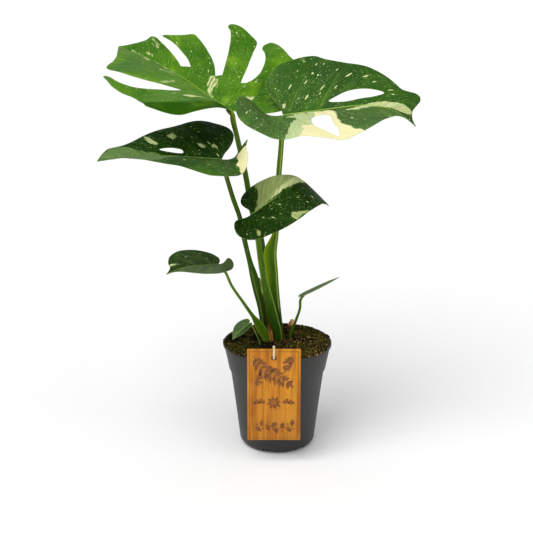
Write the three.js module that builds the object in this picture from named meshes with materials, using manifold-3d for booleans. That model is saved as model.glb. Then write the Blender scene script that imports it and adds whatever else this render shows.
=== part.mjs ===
// A young variegated monstera in a plastic nursery pot of soil, with a wooden plant tag on a twine loop.
// Millimetres, +Z up. The pot's axis is the Z axis and its foot stands on Z 0. The tag hangs on the -Y side.
import * as THREE from 'three';
import { mergeVertices } from 'three/addons/utils/BufferGeometryUtils.js';
import { TessellateModifier } from 'three/addons/modifiers/TessellateModifier.js';
import Module from 'manifold-3d';

const wasm = await Module();
wasm.setup();

const DEG = Math.PI / 180;

// Driving sizes

const GAP = 0.3;
const BLADE = 0.8;

const POT = {
  height: 118,
  rimRadius: 60,
  lipHeight: 3.5,
  lipStep: 0.8,
  bandHeight: 29,
  bandFootRadius: 53.6,
  bodyTopRadius: 52,
  bodyFootRadius: 41.5,
  chamferHeight: 6,
  footRadius: 34,
  wall: 1.4,
  floor: 1.8,
  footRun: 4,
  footRise: 1.3,
  rimWall: 2.3,
  edgeRound: 0.6,
  sides: 40,
  notches: 6,
  notchWidth: 9,
  notchHeight: 4.5,
  notchTurn: 0.4,
};

const SOIL = { edgeHeight: 115.5, mound: 3, lump: 0.8, sides: 30, rings: [10, 20, 30, 38, 46, 53] };
const STEM_FOOT = 107;
const TAG = {
  width: 57.5,
  height: 105.5,
  thickness: 2.6,
  centreX: -4,
  foot: 27,
  holeRadius: 2.8,
  holeDrop: 10,
  holeSegments: 10,
};
const TWINE = { radius: 1.5, sides: 8, stepsPerMm: 0.36 };

// Leaves. Each blade is drawn flat, u along the midrib from the petiole and v across it, in mm. A half is a
// list of lobes, each one smooth run of margin points [u, distance from the midrib] from the petiole towards
// the tip, and the slits lie between lobes. The pose then bends the flat blade: heading about Z, pitch, roll,
// twist along the midrib, droop of the tip between two parts of the length, and for the left and right
// half its fold up from the midrib, its downward curl per 100 mm and the lift of its lobe behind the petiole.

const LEAVES = [
  {
    name: 'a',
    joint: [-49.2, 25, 372.3],
    length: 196,
    heading: 134,
    pitch: 17.5,
    roll: 7.5,
    twist: -8,
    droop: { angle: 11, from: 0.3, to: 1 },
    fold: [22, 28],
    curl: [41, 5],
    lift: [0, 10],
    ripple: 1.6,
    edge: 23,
    left: {
      lobes: [
        [[0, 0], [-3, 10], [-7, 30], [-12, 52], [-14.5, 74], [-13.5, 93], [1, 110], [14, 113], [34, 103],
          [50, 101], [64, 108], [76, 112], [91, 108.5], [100, 102.5], [79, 102.5], [66, 94], [57, 84],
          [47, 70], [39, 58], [36, 47]],
        [[41, 48], [56, 59.5], [70, 74], [84, 84.5], [103, 85.5], [121, 81], [129, 65.5], [137, 54.5],
          [150, 42], [165, 28], [182, 12], [196, 0]],
      ],
      holes: [],
    },
    right: {
      lobes: [
        [[0, 0], [-14, 10], [-36, 26], [-44, 50], [-38, 78], [-15, 98], [14, 107], [28, 106], [42, 110],
          [60, 119], [67, 119], [68, 110], [64.5, 102], [53, 94], [42, 84.5], [34, 75], [27.5, 64],
          [24.5, 52], [25, 43]],
        [[29, 38], [33, 43], [42, 57], [52, 71], [64, 88], [76, 105], [81, 106], [87, 105], [97, 103],
          [103, 101], [109, 98], [111.5, 94.5], [110, 91], [104, 88.5], [98, 84], [85, 70], [73, 55.5],
          [55, 33.5]],
        [[59, 27], [73, 38], [84, 44], [97, 49], [109.5, 53.5], [121, 57.5], [133, 61], [142, 54],
          [151.5, 47.5], [161.5, 39.5], [150, 38], [136.5, 35.5], [120, 30], [104, 25], [91, 18.5]],
        [[101, 12], [109, 15.5], [131, 23], [150.5, 29], [166.5, 33], [171.5, 31], [172, 23.5],
          [178.5, 14.5], [188, 5.5], [196, 0]],
      ],
      holes: [],
    },
  },
  {
    name: 'b',
    joint: [5.5, 2, 372.9],
    length: 156,
    heading: 2,
    pitch: 7.5,
    roll: 27,
    twist: 3,
    droop: { angle: 55, from: 0.4, to: 1 },
    fold: [26, 22],
    curl: [15, 20],
    lift: [12, 62],
    ripple: 1.4,
    edge: 20,
    left: {
      lobes: [
        [[0, 0], [-2, 9], [-11, 25], [-15, 39], [-8, 50], [3, 60], [17, 64.5], [30, 68.5], [42, 68],
          [54, 60], [73, 51.5], [92, 47], [106.5, 39.5], [120, 31.5], [126, 29], [134, 31], [144.5, 35.5],
          [151, 36], [152.5, 31.5], [149, 23], [145, 12], [148, 4], [156, 0]],
      ],
      holes: [[[50, 9], [58, 13], [69, 17], [82, 19], [96, 19], [108, 17], [98, 11], [84, 8], [67, 6]]],
    },
    right: {
      lobes: [
        [[0, 0], [-10, 2], [-26, 3], [-44, 6], [-62, 11], [-72, 22], [-71, 36], [-60, 44], [-40, 50],
          [-18, 57], [1, 60], [15, 59.5], [28, 65], [42, 69], [57, 72], [66, 70], [74, 66], [82, 60],
          [90, 51], [99, 38.5], [109, 27], [119, 16], [132, 8], [145, 3], [156, 0]],
      ],
      holes: [[[29, 22], [30, 40], [37, 50], [46, 60], [53, 66], [54, 54], [50, 36], [47, 18], [36, 16]]],
    },
  },
  {
    name: 'c',
    joint: [-59.4, -12, 328.3],
    length: 132.3,
    heading: 190,
    pitch: 6.5,
    roll: -12,
    twist: 11,
    droop: { angle: 15, from: 0.3, to: 1 },
    fold: [19, 20],
    curl: [24, 23],
    lift: [88, 15],
    ripple: 1,
    edge: 18,
    left: {
      lobes: [
        [[0, 0], [-8, 2], [-20, 6], [-34, 13], [-47, 18], [-50, 25], [-42, 31], [-30, 40], [-18, 52],
          [-6, 65], [7, 73], [20, 73], [34, 67], [50, 64], [64, 62], [74, 54], [85, 44], [100, 36], [118, 14],
          [132.3, 0]],
      ],
      holes: [],
    },
    right: {
      lobes: [
        [[0, 0], [-4, 9], [-10, 18], [-15, 28], [-17, 38], [-15, 49], [-9, 58], [0, 64], [11, 67], [25, 66],
          [40, 61], [57, 52], [74, 44], [88, 37], [100, 27], [110, 22], [119, 19], [126, 11], [132.3, 0]],
      ],
      holes: [[[41, 6], [42, 11], [54, 13.5], [66, 10], [56, 6.5]]],
    },
  },
  {
    name: 'd',
    joint: [-27.5, -28, 273.1],
    length: 110,
    heading: -3,
    pitch: 36,
    roll: 38,
    twist: -5,
    droop: { angle: 86, from: 0.2, to: 0.8 },
    fold: [-5, 3],
    curl: [15, 31],
    lift: [10, 70],
    ripple: 0.7,
    edge: 15,
    left: {
      lobes: [
        [[0, 0], [-2, 8], [-6, 17], [-7, 25], [-3, 32], [6, 36], [17, 37], [29, 35], [41, 32], [53, 29],
          [66, 28], [80, 26], [95, 18], [110, 0]],
      ],
      holes: [],
    },
    right: {
      lobes: [
        [[0, 0], [-4, 1], [-12, 1.5], [-20, 3], [-27, 10], [-28, 18], [-23, 26], [-13, 30], [-1, 34], [9, 37],
          [21, 40], [33, 41], [46, 39], [60, 32], [74, 22], [90, 10], [110, 0]],
      ],
      holes: [],
    },
  },
  {
    name: 'e',
    joint: [-63.4, -20, 214.5],
    length: 70,
    heading: 220,
    pitch: 8.5,
    roll: -9,
    twist: 12,
    droop: { angle: 22, from: 0.4, to: 1 },
    fold: [5, 18],
    curl: [26, 16],
    lift: [88, 15],
    ripple: 0.5,
    edge: 13,
    left: {
      lobes: [
        [[0, 0], [-5, 1], [-12, 2], [-14, 8], [-12, 13], [-5, 17], [5, 22], [20, 28], [33, 31], [44, 29],
          [52, 21], [58, 9], [63, 3], [70, 0]],
      ],
      holes: [],
    },
    right: {
      lobes: [
        [[0, 0], [-5, 5], [-6, 10], [-1, 18], [10, 25], [21, 29], [30, 30], [40, 28], [50, 23], [57, 15],
          [61, 6], [70, 0]],
      ],
      holes: [],
    },
  },
  {
    name: 'f',
    joint: [-30.5, -35, 152],
    length: 26,
    heading: 216,
    pitch: -26,
    roll: -20,
    twist: 0,
    droop: { angle: 22, from: 0.2, to: 1 },
    fold: [18, 18],
    curl: [20, 20],
    lift: [0, 0],
    ripple: 0,
    edge: 9,
    left: {
      lobes: [[[0, 0], [-3, 2.5], [-2, 5.5], [3, 8], [9, 9], [15, 8], [20, 5], [26, 0]]],
      holes: [],
    },
    right: {
      lobes: [[[0, 0], [-3, 2.5], [-2, 5.5], [3, 8], [9, 9], [15, 8], [20, 5], [26, 0]]],
      holes: [],
    },
  },
  {
    name: 'g',
    joint: [26, 5, 169],
    length: 47,
    heading: 0,
    pitch: 25,
    roll: -16,
    twist: 0,
    droop: { angle: -6, from: 0, to: 1 },
    fold: [7, 7],
    curl: [16, 16],
    lift: [0, 0],
    ripple: 0.3,
    edge: 12,
    left: {
      lobes: [[[0, 0], [-3, 4], [-2, 10], [4, 14], [13, 15], [24, 14], [34, 10], [41, 5], [47, 0]]],
      holes: [],
    },
    right: {
      lobes: [[[0, 0], [-3, 4], [-2, 10], [4, 14], [13, 15], [24, 14], [34, 10], [41, 5], [47, 0]]],
      holes: [],
    },
  },
];

// Petioles from blade to soil: [x, y, z, width, depth] of the section at each station. The lower part of each
// is a sheath, wider than the stalk above it.

const PETIOLES = {
  a: [
    [-49.2, 25, 371.2, 5.2, 5.2], [-48, 27, 362, 5.4, 5.2], [-43.5, 36, 339, 5.6, 5.4],
    [-35, 36, 299, 6, 5.6], [-28, 29, 261, 6.2, 5.8], [-18, 24, 229, 6.6, 6], [-15, 22, 200, 7, 6],
    [-10, 20, 172, 7.4, 6.2], [-7, 19, 137, 8, 6.4], [-6, 19, STEM_FOOT, 8, 6.4],
  ],
  b: [
    [5.5, 2.4, 371.8, 5.4, 5.2], [4, 6, 344, 5.6, 5.4], [1.2, 14, 304, 6, 5.6], [-0.8, 18, 267, 6.2, 5.8],
    [-2, 18, 238, 7, 5.6], [-8, 15, 215, 15, 5], [-6, 13.5, 197, 13, 5.4], [-4, 13, 179, 11, 6],
    [-1, 12.5, 156, 9, 6.4], [2, 12.5, 132, 8, 6.6], [4, 12.5, STEM_FOOT, 8, 6.6],
  ],
  c: [
    [-59.4, -12, 327.2, 4.6, 4.4], [-54, -8, 306, 4.8, 4.6], [-48, -5, 284, 5, 4.8], [-41, -2, 262, 5.2, 5],
    [-36, 0, 236, 5.4, 5.2], [-30, 2.5, 209, 5.8, 5.2], [-26, 3, 194, 8.6, 4.6], [-22, 4, 177, 9.4, 4.8],
    [-18, 5, 159, 8.4, 5.2], [-15.5, 6.5, 140, 8, 5.6], [-13, 8, STEM_FOOT, 8, 5.8],
  ],
  d: [
    [-27.5, -28, 272, 4.6, 4.6], [-24, -24, 257, 5.2, 5], [-21, -19, 241, 6, 5.4], [-18, -13, 215, 6.6, 5.6],
    [-13, -8.5, 186, 8, 5.6], [-8, -5, 162, 10.4, 5.4], [-4, -2, 143, 11.4, 5.6], [0, 0.5, 124, 11, 6],
    [1, 1, STEM_FOOT, 10, 6],
  ],
  e: [
    [-63.4, -20, 213.4, 3.2, 3], [-56, -20, 204.5, 3.4, 3.2], [-50, -19, 190, 3.6, 3.4],
    [-37, -14, 168, 3.8, 3.6], [-27, -9, 151, 4.6, 3.8], [-21, -6, 141, 9, 4], [-16.5, -4, 132, 10.5, 4.2],
    [-12, -3, 121, 9, 4.6], [-11, -3, STEM_FOOT, 7.5, 4.6],
  ],
  f: [
    [-30.5, -35, 150.9, 2, 2], [-27, -29, 146, 2.2, 2.2], [-22, -18, 131, 2.6, 2.4], [-20, -12, 122, 3, 2.6],
    [-19, -10, STEM_FOOT, 3, 2.6],
  ],
  g: [
    [25.6, 5, 167.8, 2.6, 2.6], [25, 6, 155, 2.8, 2.8], [20, 8, 138, 3.2, 3.2], [14.5, 10, 122, 4.4, 3.6],
    [13, 10.5, STEM_FOOT, 4.6, 3.8],
  ],
};
const PETIOLE_SIDES = 10;
const PETIOLE_STEP = 15;

// A dry bud sheath between the petioles, [x, y, z, width, depth], the cut stub of the old stem and a bark chip
const DRY_SHEATH = [
  [-20, -3, 193, 1.4, 1], [-15.4, -2.6, 175, 2.8, 1.2], [-12.6, -2.4, 157, 3, 1.4], [-9.6, -2, 140, 3.6, 1.6],
  [-6.6, -4, 124, 4, 1.8], [-6, -4.2, STEM_FOOT, 4, 1.8],
];
const STUB = { x: 9.5, y: -5, footRadius: 4.4, topRadius: 3.4, top: 121.5, sides: 14 };
const BARK_CHIP = { x: 15, y: 45.5, width: 5, topWidth: 3, depth: 2, foot: 107, top: 126, lean: 12, sides: 5 };

// Solids and booleans

function toManifold(geometry) {
  const bare = geometry.clone();
  bare.deleteAttribute('normal');
  bare.deleteAttribute('uv');
  const merged = mergeVertices(bare, 1e-4);
  const mesh = new wasm.Mesh({
    numProp: 3,
    vertProperties: new Float32Array(merged.attributes.position.array),
    triVerts: new Uint32Array(merged.index.array),
  });
  return new wasm.Manifold(mesh);
}

function toGeometry(manifold) {
  const mesh = manifold.getMesh();
  const geometry = new THREE.BufferGeometry();
  const count = mesh.numProp;
  const positions = new Float32Array((mesh.vertProperties.length / count) * 3);
  for (let i = 0; i < positions.length / 3; i += 1) {
    positions.set(mesh.vertProperties.subarray(i * count, i * count + 3), i * 3);
  }
  geometry.setAttribute('position', new THREE.BufferAttribute(positions, 3));
  geometry.setIndex(Array.from(mesh.triVerts));
  return geometry;
}

function subtractAll(geometry, tools) {
  let solid = toManifold(geometry);
  for (const tool of tools) {
    solid = solid.subtract(toManifold(tool));
  }
  return toGeometry(solid);
}

function indexed(points, triangles) {
  const geometry = new THREE.BufferGeometry();
  const numbers = points.flatMap((p) => [p.x, p.y, p.z]);
  geometry.setAttribute('position', new THREE.Float32BufferAttribute(numbers, 3));
  geometry.setIndex(triangles);
  return geometry;
}

// A closed loft through rings of equal point counts, capped with a fan at each end
function loft(rings) {
  const sides = rings[0].length;
  const points = rings.flat();
  const triangles = [];
  for (let r = 0; r + 1 < rings.length; r += 1) {
    for (let i = 0; i < sides; i += 1) {
      const next = (i + 1) % sides;
      const low = r * sides;
      const high = low + sides;
      triangles.push(low + i, low + next, high + next, low + i, high + next, high + i);
    }
  }
  const last = (rings.length - 1) * sides;
  for (let i = 1; i + 1 < sides; i += 1) {
    triangles.push(0, i + 1, i);
    triangles.push(last, last + i, last + i + 1);
  }
  return indexed(points, triangles);
}

// Leaf blades

const smooth = (x) => {
  const t = THREE.MathUtils.clamp(x, 0, 1);
  return t * t * (3 - 2 * t);
};

// The midrib's arc in the leaf's own plane, as places and slopes at even steps of u. It starts behind the
// petiole, where the lobes reach back.
const ARC_START = -0.6;
const ARC_STEPS_PER_LENGTH = 100;
const ARC_STEPS = 190;

function midribArc(leaf, lift) {
  const start = ARC_START * leaf.length;
  const step = leaf.length / ARC_STEPS_PER_LENGTH;
  const slope = (u) => -leaf.droop.angle * DEG
    * smooth((u / leaf.length - leaf.droop.from) / (leaf.droop.to - leaf.droop.from))
    - lift * DEG * smooth(-u / (0.2 * leaf.length));
  const stations = [{ x: 0, z: 0, slope: slope(start) }];
  for (let i = 1; i <= ARC_STEPS; i += 1) {
    const here = slope(start + i * step);
    const before = stations[i - 1];
    const middle = (here + before.slope) / 2;
    stations.push({
      x: before.x + step * Math.cos(middle),
      z: before.z + step * Math.sin(middle),
      slope: here,
    });
  }
  const at = (u) => {
    const place = THREE.MathUtils.clamp((u - start) / step, 0, ARC_STEPS - 1e-3);
    const i = Math.floor(place);
    const t = place - i;
    const [a, b] = [stations[i], stations[i + 1]];
    return { x: a.x + (b.x - a.x) * t, z: a.z + (b.z - a.z) * t, slope: a.slope + (b.slope - a.slope) * t };
  };
  const origin = at(0);
  return (u) => {
    const p = at(u);
    return { x: p.x - origin.x, z: p.z - origin.z, slope: p.slope };
  };
}

// The bent blade's mid-surface: a function of flat (u, distance from the midrib) on one half. A lobe's lift
// fades out with the distance from the midrib, and the margin ripples more the wider the leaf is.
const LIFT_FADE = 0.85;
const RIPPLE_REACH = 60;

function bladeSurface(leaf, half) {
  const side = half === 0 ? 1 : -1;
  const heading = leaf.heading * DEG;
  const pitch = leaf.pitch * DEG;
  const roll = leaf.roll * DEG;
  const forward = new THREE.Vector3(
    Math.cos(heading) * Math.cos(pitch),
    Math.sin(heading) * Math.cos(pitch),
    Math.sin(pitch),
  );
  const level = new THREE.Vector3(-Math.sin(heading), Math.cos(heading), 0);
  const upright = new THREE.Vector3().crossVectors(forward, level);
  const left = level.clone().multiplyScalar(Math.cos(roll)).addScaledVector(upright, Math.sin(roll));
  const normal = upright.clone().multiplyScalar(Math.cos(roll)).addScaledVector(level, -Math.sin(roll));
  const lifted = midribArc(leaf, leaf.lift[half]);
  const plain = midribArc(leaf, 0);
  const fold = leaf.fold[half] * DEG;
  const curl = (leaf.curl[half] / 100) * DEG;
  const joint = new THREE.Vector3(...leaf.joint);
  return (u, across) => {
    const fade = LIFT_FADE * smooth(across / (0.45 * leaf.length));
    const a = lifted(u);
    const b = plain(u);
    const x = a.x + (b.x - a.x) * fade;
    const z = a.z + (b.z - a.z) * fade;
    const slope = a.slope + (b.slope - a.slope) * fade;
    const out = (Math.sin(fold) - Math.sin(fold - curl * across)) / curl;
    const wave = leaf.ripple * (across / RIPPLE_REACH) ** 2 * Math.sin((5 * Math.PI * u) / leaf.length + side);
    const up = (Math.cos(fold - curl * across) - Math.cos(fold)) / curl + wave;
    const twist = leaf.twist * DEG * THREE.MathUtils.clamp(u / leaf.length, -0.5, 1.2);
    const sideways = side * out * Math.cos(twist) - up * Math.sin(twist);
    const above = side * out * Math.sin(twist) + up * Math.cos(twist);
    return joint.clone()
      .addScaledVector(forward, x - above * Math.sin(slope))
      .addScaledVector(left, sideways)
      .addScaledVector(normal, z + above * Math.cos(slope));
  };
}

function smoothRun(points, step, closed) {
  const margin = points.map(([u, v]) => new THREE.Vector3(u, v, 0));
  const curve = new THREE.CatmullRomCurve3(margin, closed, 'centripetal');
  const count = Math.max(3, Math.round(curve.getLength() / step));
  const run = curve.getSpacedPoints(count).map((p) => new THREE.Vector2(p.x, Math.max(p.y, 0)));
  return closed ? run.slice(0, -1) : run;
}

// One half's flat triangles, split small enough to bend. Its straight side is the midrib, bowed out by far
// less than any tolerance, so that the triangulation keeps each of its points.
const MIDRIB_BOW = 2e-4;
const SPLIT_ROUNDS = 14;

function flatHalf(leaf, half) {
  const outline = half.lobes.flatMap((lobe) => smoothRun(lobe, leaf.edge * 0.5, false));
  const midribSteps = Math.ceil(leaf.length / leaf.edge);
  for (let i = midribSteps - 1; i > 0; i -= 1) {
    const share = i / midribSteps;
    outline.push(new THREE.Vector2(leaf.length * share, -4 * MIDRIB_BOW * share * (1 - share)));
  }
  const holes = half.holes.map((hole) => smoothRun(hole, leaf.edge * 0.4, true));
  if (!THREE.ShapeUtils.isClockWise(outline)) {
    outline.reverse();
  }
  holes.filter((hole) => THREE.ShapeUtils.isClockWise(hole)).forEach((hole) => hole.reverse());
  const faces = THREE.ShapeUtils.triangulateShape(outline, holes);
  const corners = [outline, ...holes].flat();
  const flat = new THREE.BufferGeometry();
  const positions = faces.flatMap((face) => face.flatMap((i) => [corners[i].x, corners[i].y, 0]));
  flat.setAttribute('position', new THREE.Float32BufferAttribute(positions, 3));
  const split = mergeVertices(new TessellateModifier(leaf.edge, SPLIT_ROUNDS).modify(flat), 1e-3);
  const triangles = [];
  const place = split.attributes.position;
  for (let t = 0; t < split.index.count; t += 3) {
    const [i, j, k] = [0, 1, 2].map((n) => split.index.getX(t + n));
    const area = (place.getX(j) - place.getX(i)) * (place.getY(k) - place.getY(i))
      - (place.getX(k) - place.getX(i)) * (place.getY(j) - place.getY(i));
    if (Math.abs(area) > 1e-4) {
      triangles.push(area > 0 ? [i, j, k] : [i, k, j]);
    }
  }
  const spots = Array.from({ length: place.count }, (_, i) => [place.getX(i), place.getY(i)]);
  return { spots, triangles };
}

// A blade of the given thickness: both halves bent, joined along the midrib and closed round their edges.
// Normals come from the surface a small probe away.
const PROBE = 0.05;

function bladeSolid(leaf, thickness) {
  const spots = [];
  const triangles = [];
  const known = new Map();
  [leaf.left, leaf.right].forEach((half, index) => {
    const surface = bladeSurface(leaf, index);
    const flat = flatHalf(leaf, half);
    const ids = flat.spots.map(([u, across]) => {
      const shared = across < 1e-3 && u > -1e-3;
      const key = `${Math.round(u * 100)}`;
      const alongU = surface(u + PROBE, across).sub(surface(u - PROBE, across));
      const alongV = surface(u, across + PROBE).sub(surface(u, across));
      const normal = new THREE.Vector3().crossVectors(alongU, alongV).normalize();
      if (index === 1) {
        normal.negate();
      }
      if (shared && known.has(key)) {
        spots[known.get(key)].normal.add(normal).normalize();
        return known.get(key);
      }
      spots.push({ place: surface(u, across), normal });
      if (shared) {
        known.set(key, spots.length - 1);
      }
      return spots.length - 1;
    });
    for (const [i, j, k] of flat.triangles) {
      triangles.push(index === 0 ? [ids[i], ids[j], ids[k]] : [ids[i], ids[k], ids[j]]);
    }
  });
  const count = spots.length;
  const offset = (by) => spots.map(({ place, normal }) => place.clone().addScaledVector(normal, by));
  const points = [...offset(thickness / 2), ...offset(-thickness / 2)];
  const index = [];
  const edges = new Map();
  for (const [i, j, k] of triangles) {
    index.push(i, j, k, i + count, k + count, j + count);
    for (const [a, b] of [[i, j], [j, k], [k, i]]) {
      if (!edges.delete(`${b},${a}`)) {
        edges.set(`${a},${b}`, [a, b]);
      }
    }
  }
  for (const [a, b] of edges.values()) {
    index.push(b, a, a + count, b, a + count, b + count);
  }
  return indexed(points, index);
}

// Petioles: an oval section swept down its stations, its wide side across the Y axis
function sweptStations(stations, grow, sides, step) {
  const places = stations.map(([x, y, z]) => new THREE.Vector3(x, y, z));
  const path = new THREE.CatmullRomCurve3(places, false, 'centripetal');
  const sizes = stations.map(([, , , width, depth]) => new THREE.Vector3(width, depth, 0));
  const sizePath = new THREE.CatmullRomCurve3(sizes, false, 'centripetal');
  const count = Math.max(5, Math.round(path.getLength() / step));
  const rings = [];
  for (let i = 0; i <= count; i += 1) {
    const share = i / count;
    const t = path.getUtoTmapping(share);
    const centre = path.getPoint(t);
    const tangent = path.getTangent(t);
    const size = sizePath.getPoint(t);
    if (i === 0) {
      centre.addScaledVector(tangent, -grow);
    }
    if (i === count) {
      centre.addScaledVector(tangent, grow);
    }
    const wide = new THREE.Vector3(1, 0, 0).addScaledVector(tangent, -tangent.x).normalize();
    const deep = new THREE.Vector3().crossVectors(tangent, wide);
    rings.push(Array.from({ length: sides }, (_, n) => {
      const angle = (2 * Math.PI * n) / sides;
      return centre.clone()
        .addScaledVector(wide, Math.cos(angle) * (size.x / 2 + grow))
        .addScaledVector(deep, Math.sin(angle) * (size.y / 2 + grow));
    }));
  }
  return loft(rings);
}

const petioleSolid = (key, grow) => sweptStations(PETIOLES[key], grow, PETIOLE_SIDES, PETIOLE_STEP);

// Pot and soil

const innerFoot = POT.bodyFootRadius - POT.wall;
const innerBodyTop = POT.bodyTopRadius - POT.wall;
const bandFootHeight = POT.height - POT.bandHeight;

function potShell() {
  const lipFoot = POT.height - POT.lipHeight;
  const outer = [
    [0, 0], [POT.footRadius, 0], [POT.footRadius + POT.footRun, POT.footRise],
    [POT.bodyFootRadius, POT.chamferHeight], [POT.bodyTopRadius, bandFootHeight - POT.edgeRound],
    [POT.bandFootRadius, bandFootHeight], [POT.rimRadius - POT.lipStep - POT.edgeRound, lipFoot],
    [POT.rimRadius, lipFoot + POT.edgeRound], [POT.rimRadius, POT.height - POT.edgeRound],
    [POT.rimRadius - POT.edgeRound, POT.height],
  ];
  const inner = [
    [POT.rimRadius - POT.rimWall + POT.edgeRound, POT.height],
    [POT.rimRadius - POT.rimWall, POT.height - POT.edgeRound],
    [POT.bandFootRadius - POT.wall, bandFootHeight + 0.4], [innerBodyTop, bandFootHeight - 1],
    [innerFoot, POT.chamferHeight + 0.5], [POT.footRadius + 2.6, POT.floor + 1], [POT.footRadius, POT.floor],
    [0, POT.floor],
  ];
  const profile = [...outer, ...inner].map(([r, z]) => new THREE.Vector2(r, z));
  const shell = new THREE.LatheGeometry(profile, POT.sides).rotateX(Math.PI / 2);
  const reach = POT.bodyFootRadius - POT.footRadius + 8;
  const notches = Array.from({ length: POT.notches }, (_, i) => {
    const notch = new THREE.BoxGeometry(reach, POT.notchWidth, POT.notchHeight * 2);
    notch.translate(POT.footRadius + 1 + reach / 2, 0, 0);
    return notch.rotateZ(((2 * i + POT.notchTurn) * Math.PI) / POT.notches);
  });
  return subtractAll(shell, notches);
}

function soilHeight(x, y) {
  const share = Math.hypot(x, y) / POT.rimRadius;
  const lumps = Math.sin(0.31 * x + 0.7) * Math.cos(0.27 * y - 0.4) + 0.6 * Math.sin(0.53 * y + 0.23 * x);
  return SOIL.edgeHeight + SOIL.mound * (1 - share ** 2) + SOIL.lump * lumps * Math.min(1, 4 * (0.9 - share));
}

function soilBlock(holes) {
  const taper = (POT.rimRadius - POT.rimWall - POT.bandFootRadius + POT.wall) / (POT.bandHeight - 1);
  const edgeRadius = POT.bandFootRadius - POT.wall + taper * (SOIL.edgeHeight - bandFootHeight) - GAP;
  const wall = [
    [0, POT.floor + GAP], [POT.footRadius - 0.3, POT.floor + GAP], [POT.footRadius + 2.2, POT.floor + 1.4],
    [innerFoot - GAP, POT.chamferHeight + 0.8], [innerBodyTop - GAP, bandFootHeight - 0.9],
    [POT.bandFootRadius - POT.wall - GAP, bandFootHeight + 0.6], [edgeRadius, SOIL.edgeHeight],
  ];
  const top = [...SOIL.rings].reverse().map((radius) => [radius, SOIL.edgeHeight + 1]);
  const profile = [...wall, ...top, [0, SOIL.edgeHeight + 1]].map(([r, z]) => new THREE.Vector2(r, z));
  const block = new THREE.LatheGeometry(profile, SOIL.sides).rotateX(Math.PI / 2);
  const place = block.attributes.position;
  for (let i = 0; i < place.count; i += 1) {
    if (place.getZ(i) > SOIL.edgeHeight + 0.5) {
      place.setZ(i, soilHeight(Math.round(place.getX(i) * 100) / 100, Math.round(place.getY(i) * 100) / 100));
    }
  }
  return subtractAll(block, holes);
}

// The old stem's stub, a chip of bark, the tag and its twine

function stubSolid(grow) {
  const height = STUB.top - STEM_FOOT + 2 * grow;
  const solid = new THREE.CylinderGeometry(STUB.topRadius + grow, STUB.footRadius + grow, height, STUB.sides);
  return solid.rotateX(Math.PI / 2).translate(STUB.x, STUB.y, (STUB.top + STEM_FOOT) / 2);
}

function barkChip(grow) {
  const height = BARK_CHIP.top - BARK_CHIP.foot + 2 * grow;
  const radii = [BARK_CHIP.topWidth / 2 + grow, BARK_CHIP.width / 2 + grow];
  const chip = new THREE.CylinderGeometry(...radii, height, BARK_CHIP.sides);
  chip.scale(1, 1, BARK_CHIP.depth / BARK_CHIP.width).rotateX(Math.PI / 2).rotateY(BARK_CHIP.lean * DEG);
  return chip.translate(BARK_CHIP.x, BARK_CHIP.y, (BARK_CHIP.top + BARK_CHIP.foot) / 2);
}

const tagBack = -POT.rimRadius - GAP;
const tagFront = tagBack - TAG.thickness;
const tagTop = TAG.foot + TAG.height;
const tagHole = tagTop - TAG.holeDrop;

function tagBoard() {
  const board = new THREE.Shape();
  board.moveTo(-TAG.width / 2, 0);
  board.lineTo(TAG.width / 2, 0);
  board.lineTo(TAG.width / 2, TAG.height);
  board.lineTo(-TAG.width / 2, TAG.height);
  board.closePath();
  const hole = new THREE.Path();
  hole.absarc(0, TAG.height - TAG.holeDrop, TAG.holeRadius, 0, 2 * Math.PI, true);
  board.holes.push(hole);
  const solid = new THREE.ExtrudeGeometry(board, {
    depth: TAG.thickness,
    bevelEnabled: false,
    curveSegments: TAG.holeSegments,
  });
  return solid.rotateX(Math.PI / 2).translate(TAG.centreX, tagBack, TAG.foot);
}

// The twine starts in the soil behind the rim, comes forward over the rim, goes down the tag's front into its
// hole and returns from the back of the hole over the rim beside itself.
function twineLoop() {
  const r = TWINE.radius;
  const x = TAG.centreX;
  const front = tagFront - GAP - r;
  const rimTop = POT.height + GAP + r;
  const beside = 2 * r + 1.2;
  const route = [
    [x - 0.8, -37, 120.3], [x, -52, rimTop + 2.5],
    [x, tagBack + 3.2, tagTop - 3.5], [x, tagBack + 1.5, tagTop + 1.2], [x, tagBack - 0.2, tagTop + r + 0.6],
    [x, tagFront, tagTop + r + 0.5], [x, front, tagTop + 0.6], [x, front, tagTop - 3],
    [x, front, tagHole + 2.4],
    [x, tagFront - 1.1, tagHole + 0.4], [x, tagFront, tagHole], [x, tagBack, tagHole],
    [x + 0.6, tagBack + 2.2, tagHole], [x + beside, -51, rimTop + 1.6], [x + beside, -38, 120],
  ].map((p) => new THREE.Vector3(...p));
  const path = new THREE.CatmullRomCurve3(route, false, 'centripetal');
  const section = new THREE.Shape();
  section.absarc(0, 0, r, 0, 2 * Math.PI, false);
  return new THREE.ExtrudeGeometry(section, {
    extrudePath: path,
    steps: Math.round(path.getLength() * TWINE.stepsPerMm),
    curveSegments: TWINE.sides,
  });
}

// Assembly

const model = new THREE.Group();

function addPiece(name, geometry, colour, roughness, metalness = 0) {
  const material = new THREE.MeshStandardMaterial({ color: colour, roughness, metalness });
  const mesh = new THREE.Mesh(geometry, material);
  mesh.name = name;
  model.add(mesh);
}

addPiece('pot', potShell(), 0x2b2d2f, 0.6);

const bladeColours = {
  a: 0x3f7a2a,
  b: 0x3a6e30,
  c: 0x2c5226,
  d: 0x4a6b35,
  e: 0x3c5f38,
  f: 0x5a7a55,
  g: 0x6f8a5c,
};
for (const leaf of LEAVES) {
  addPiece(`blade_${leaf.name}`, bladeSolid(leaf, BLADE), bladeColours[leaf.name], 0.45);
}

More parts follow.
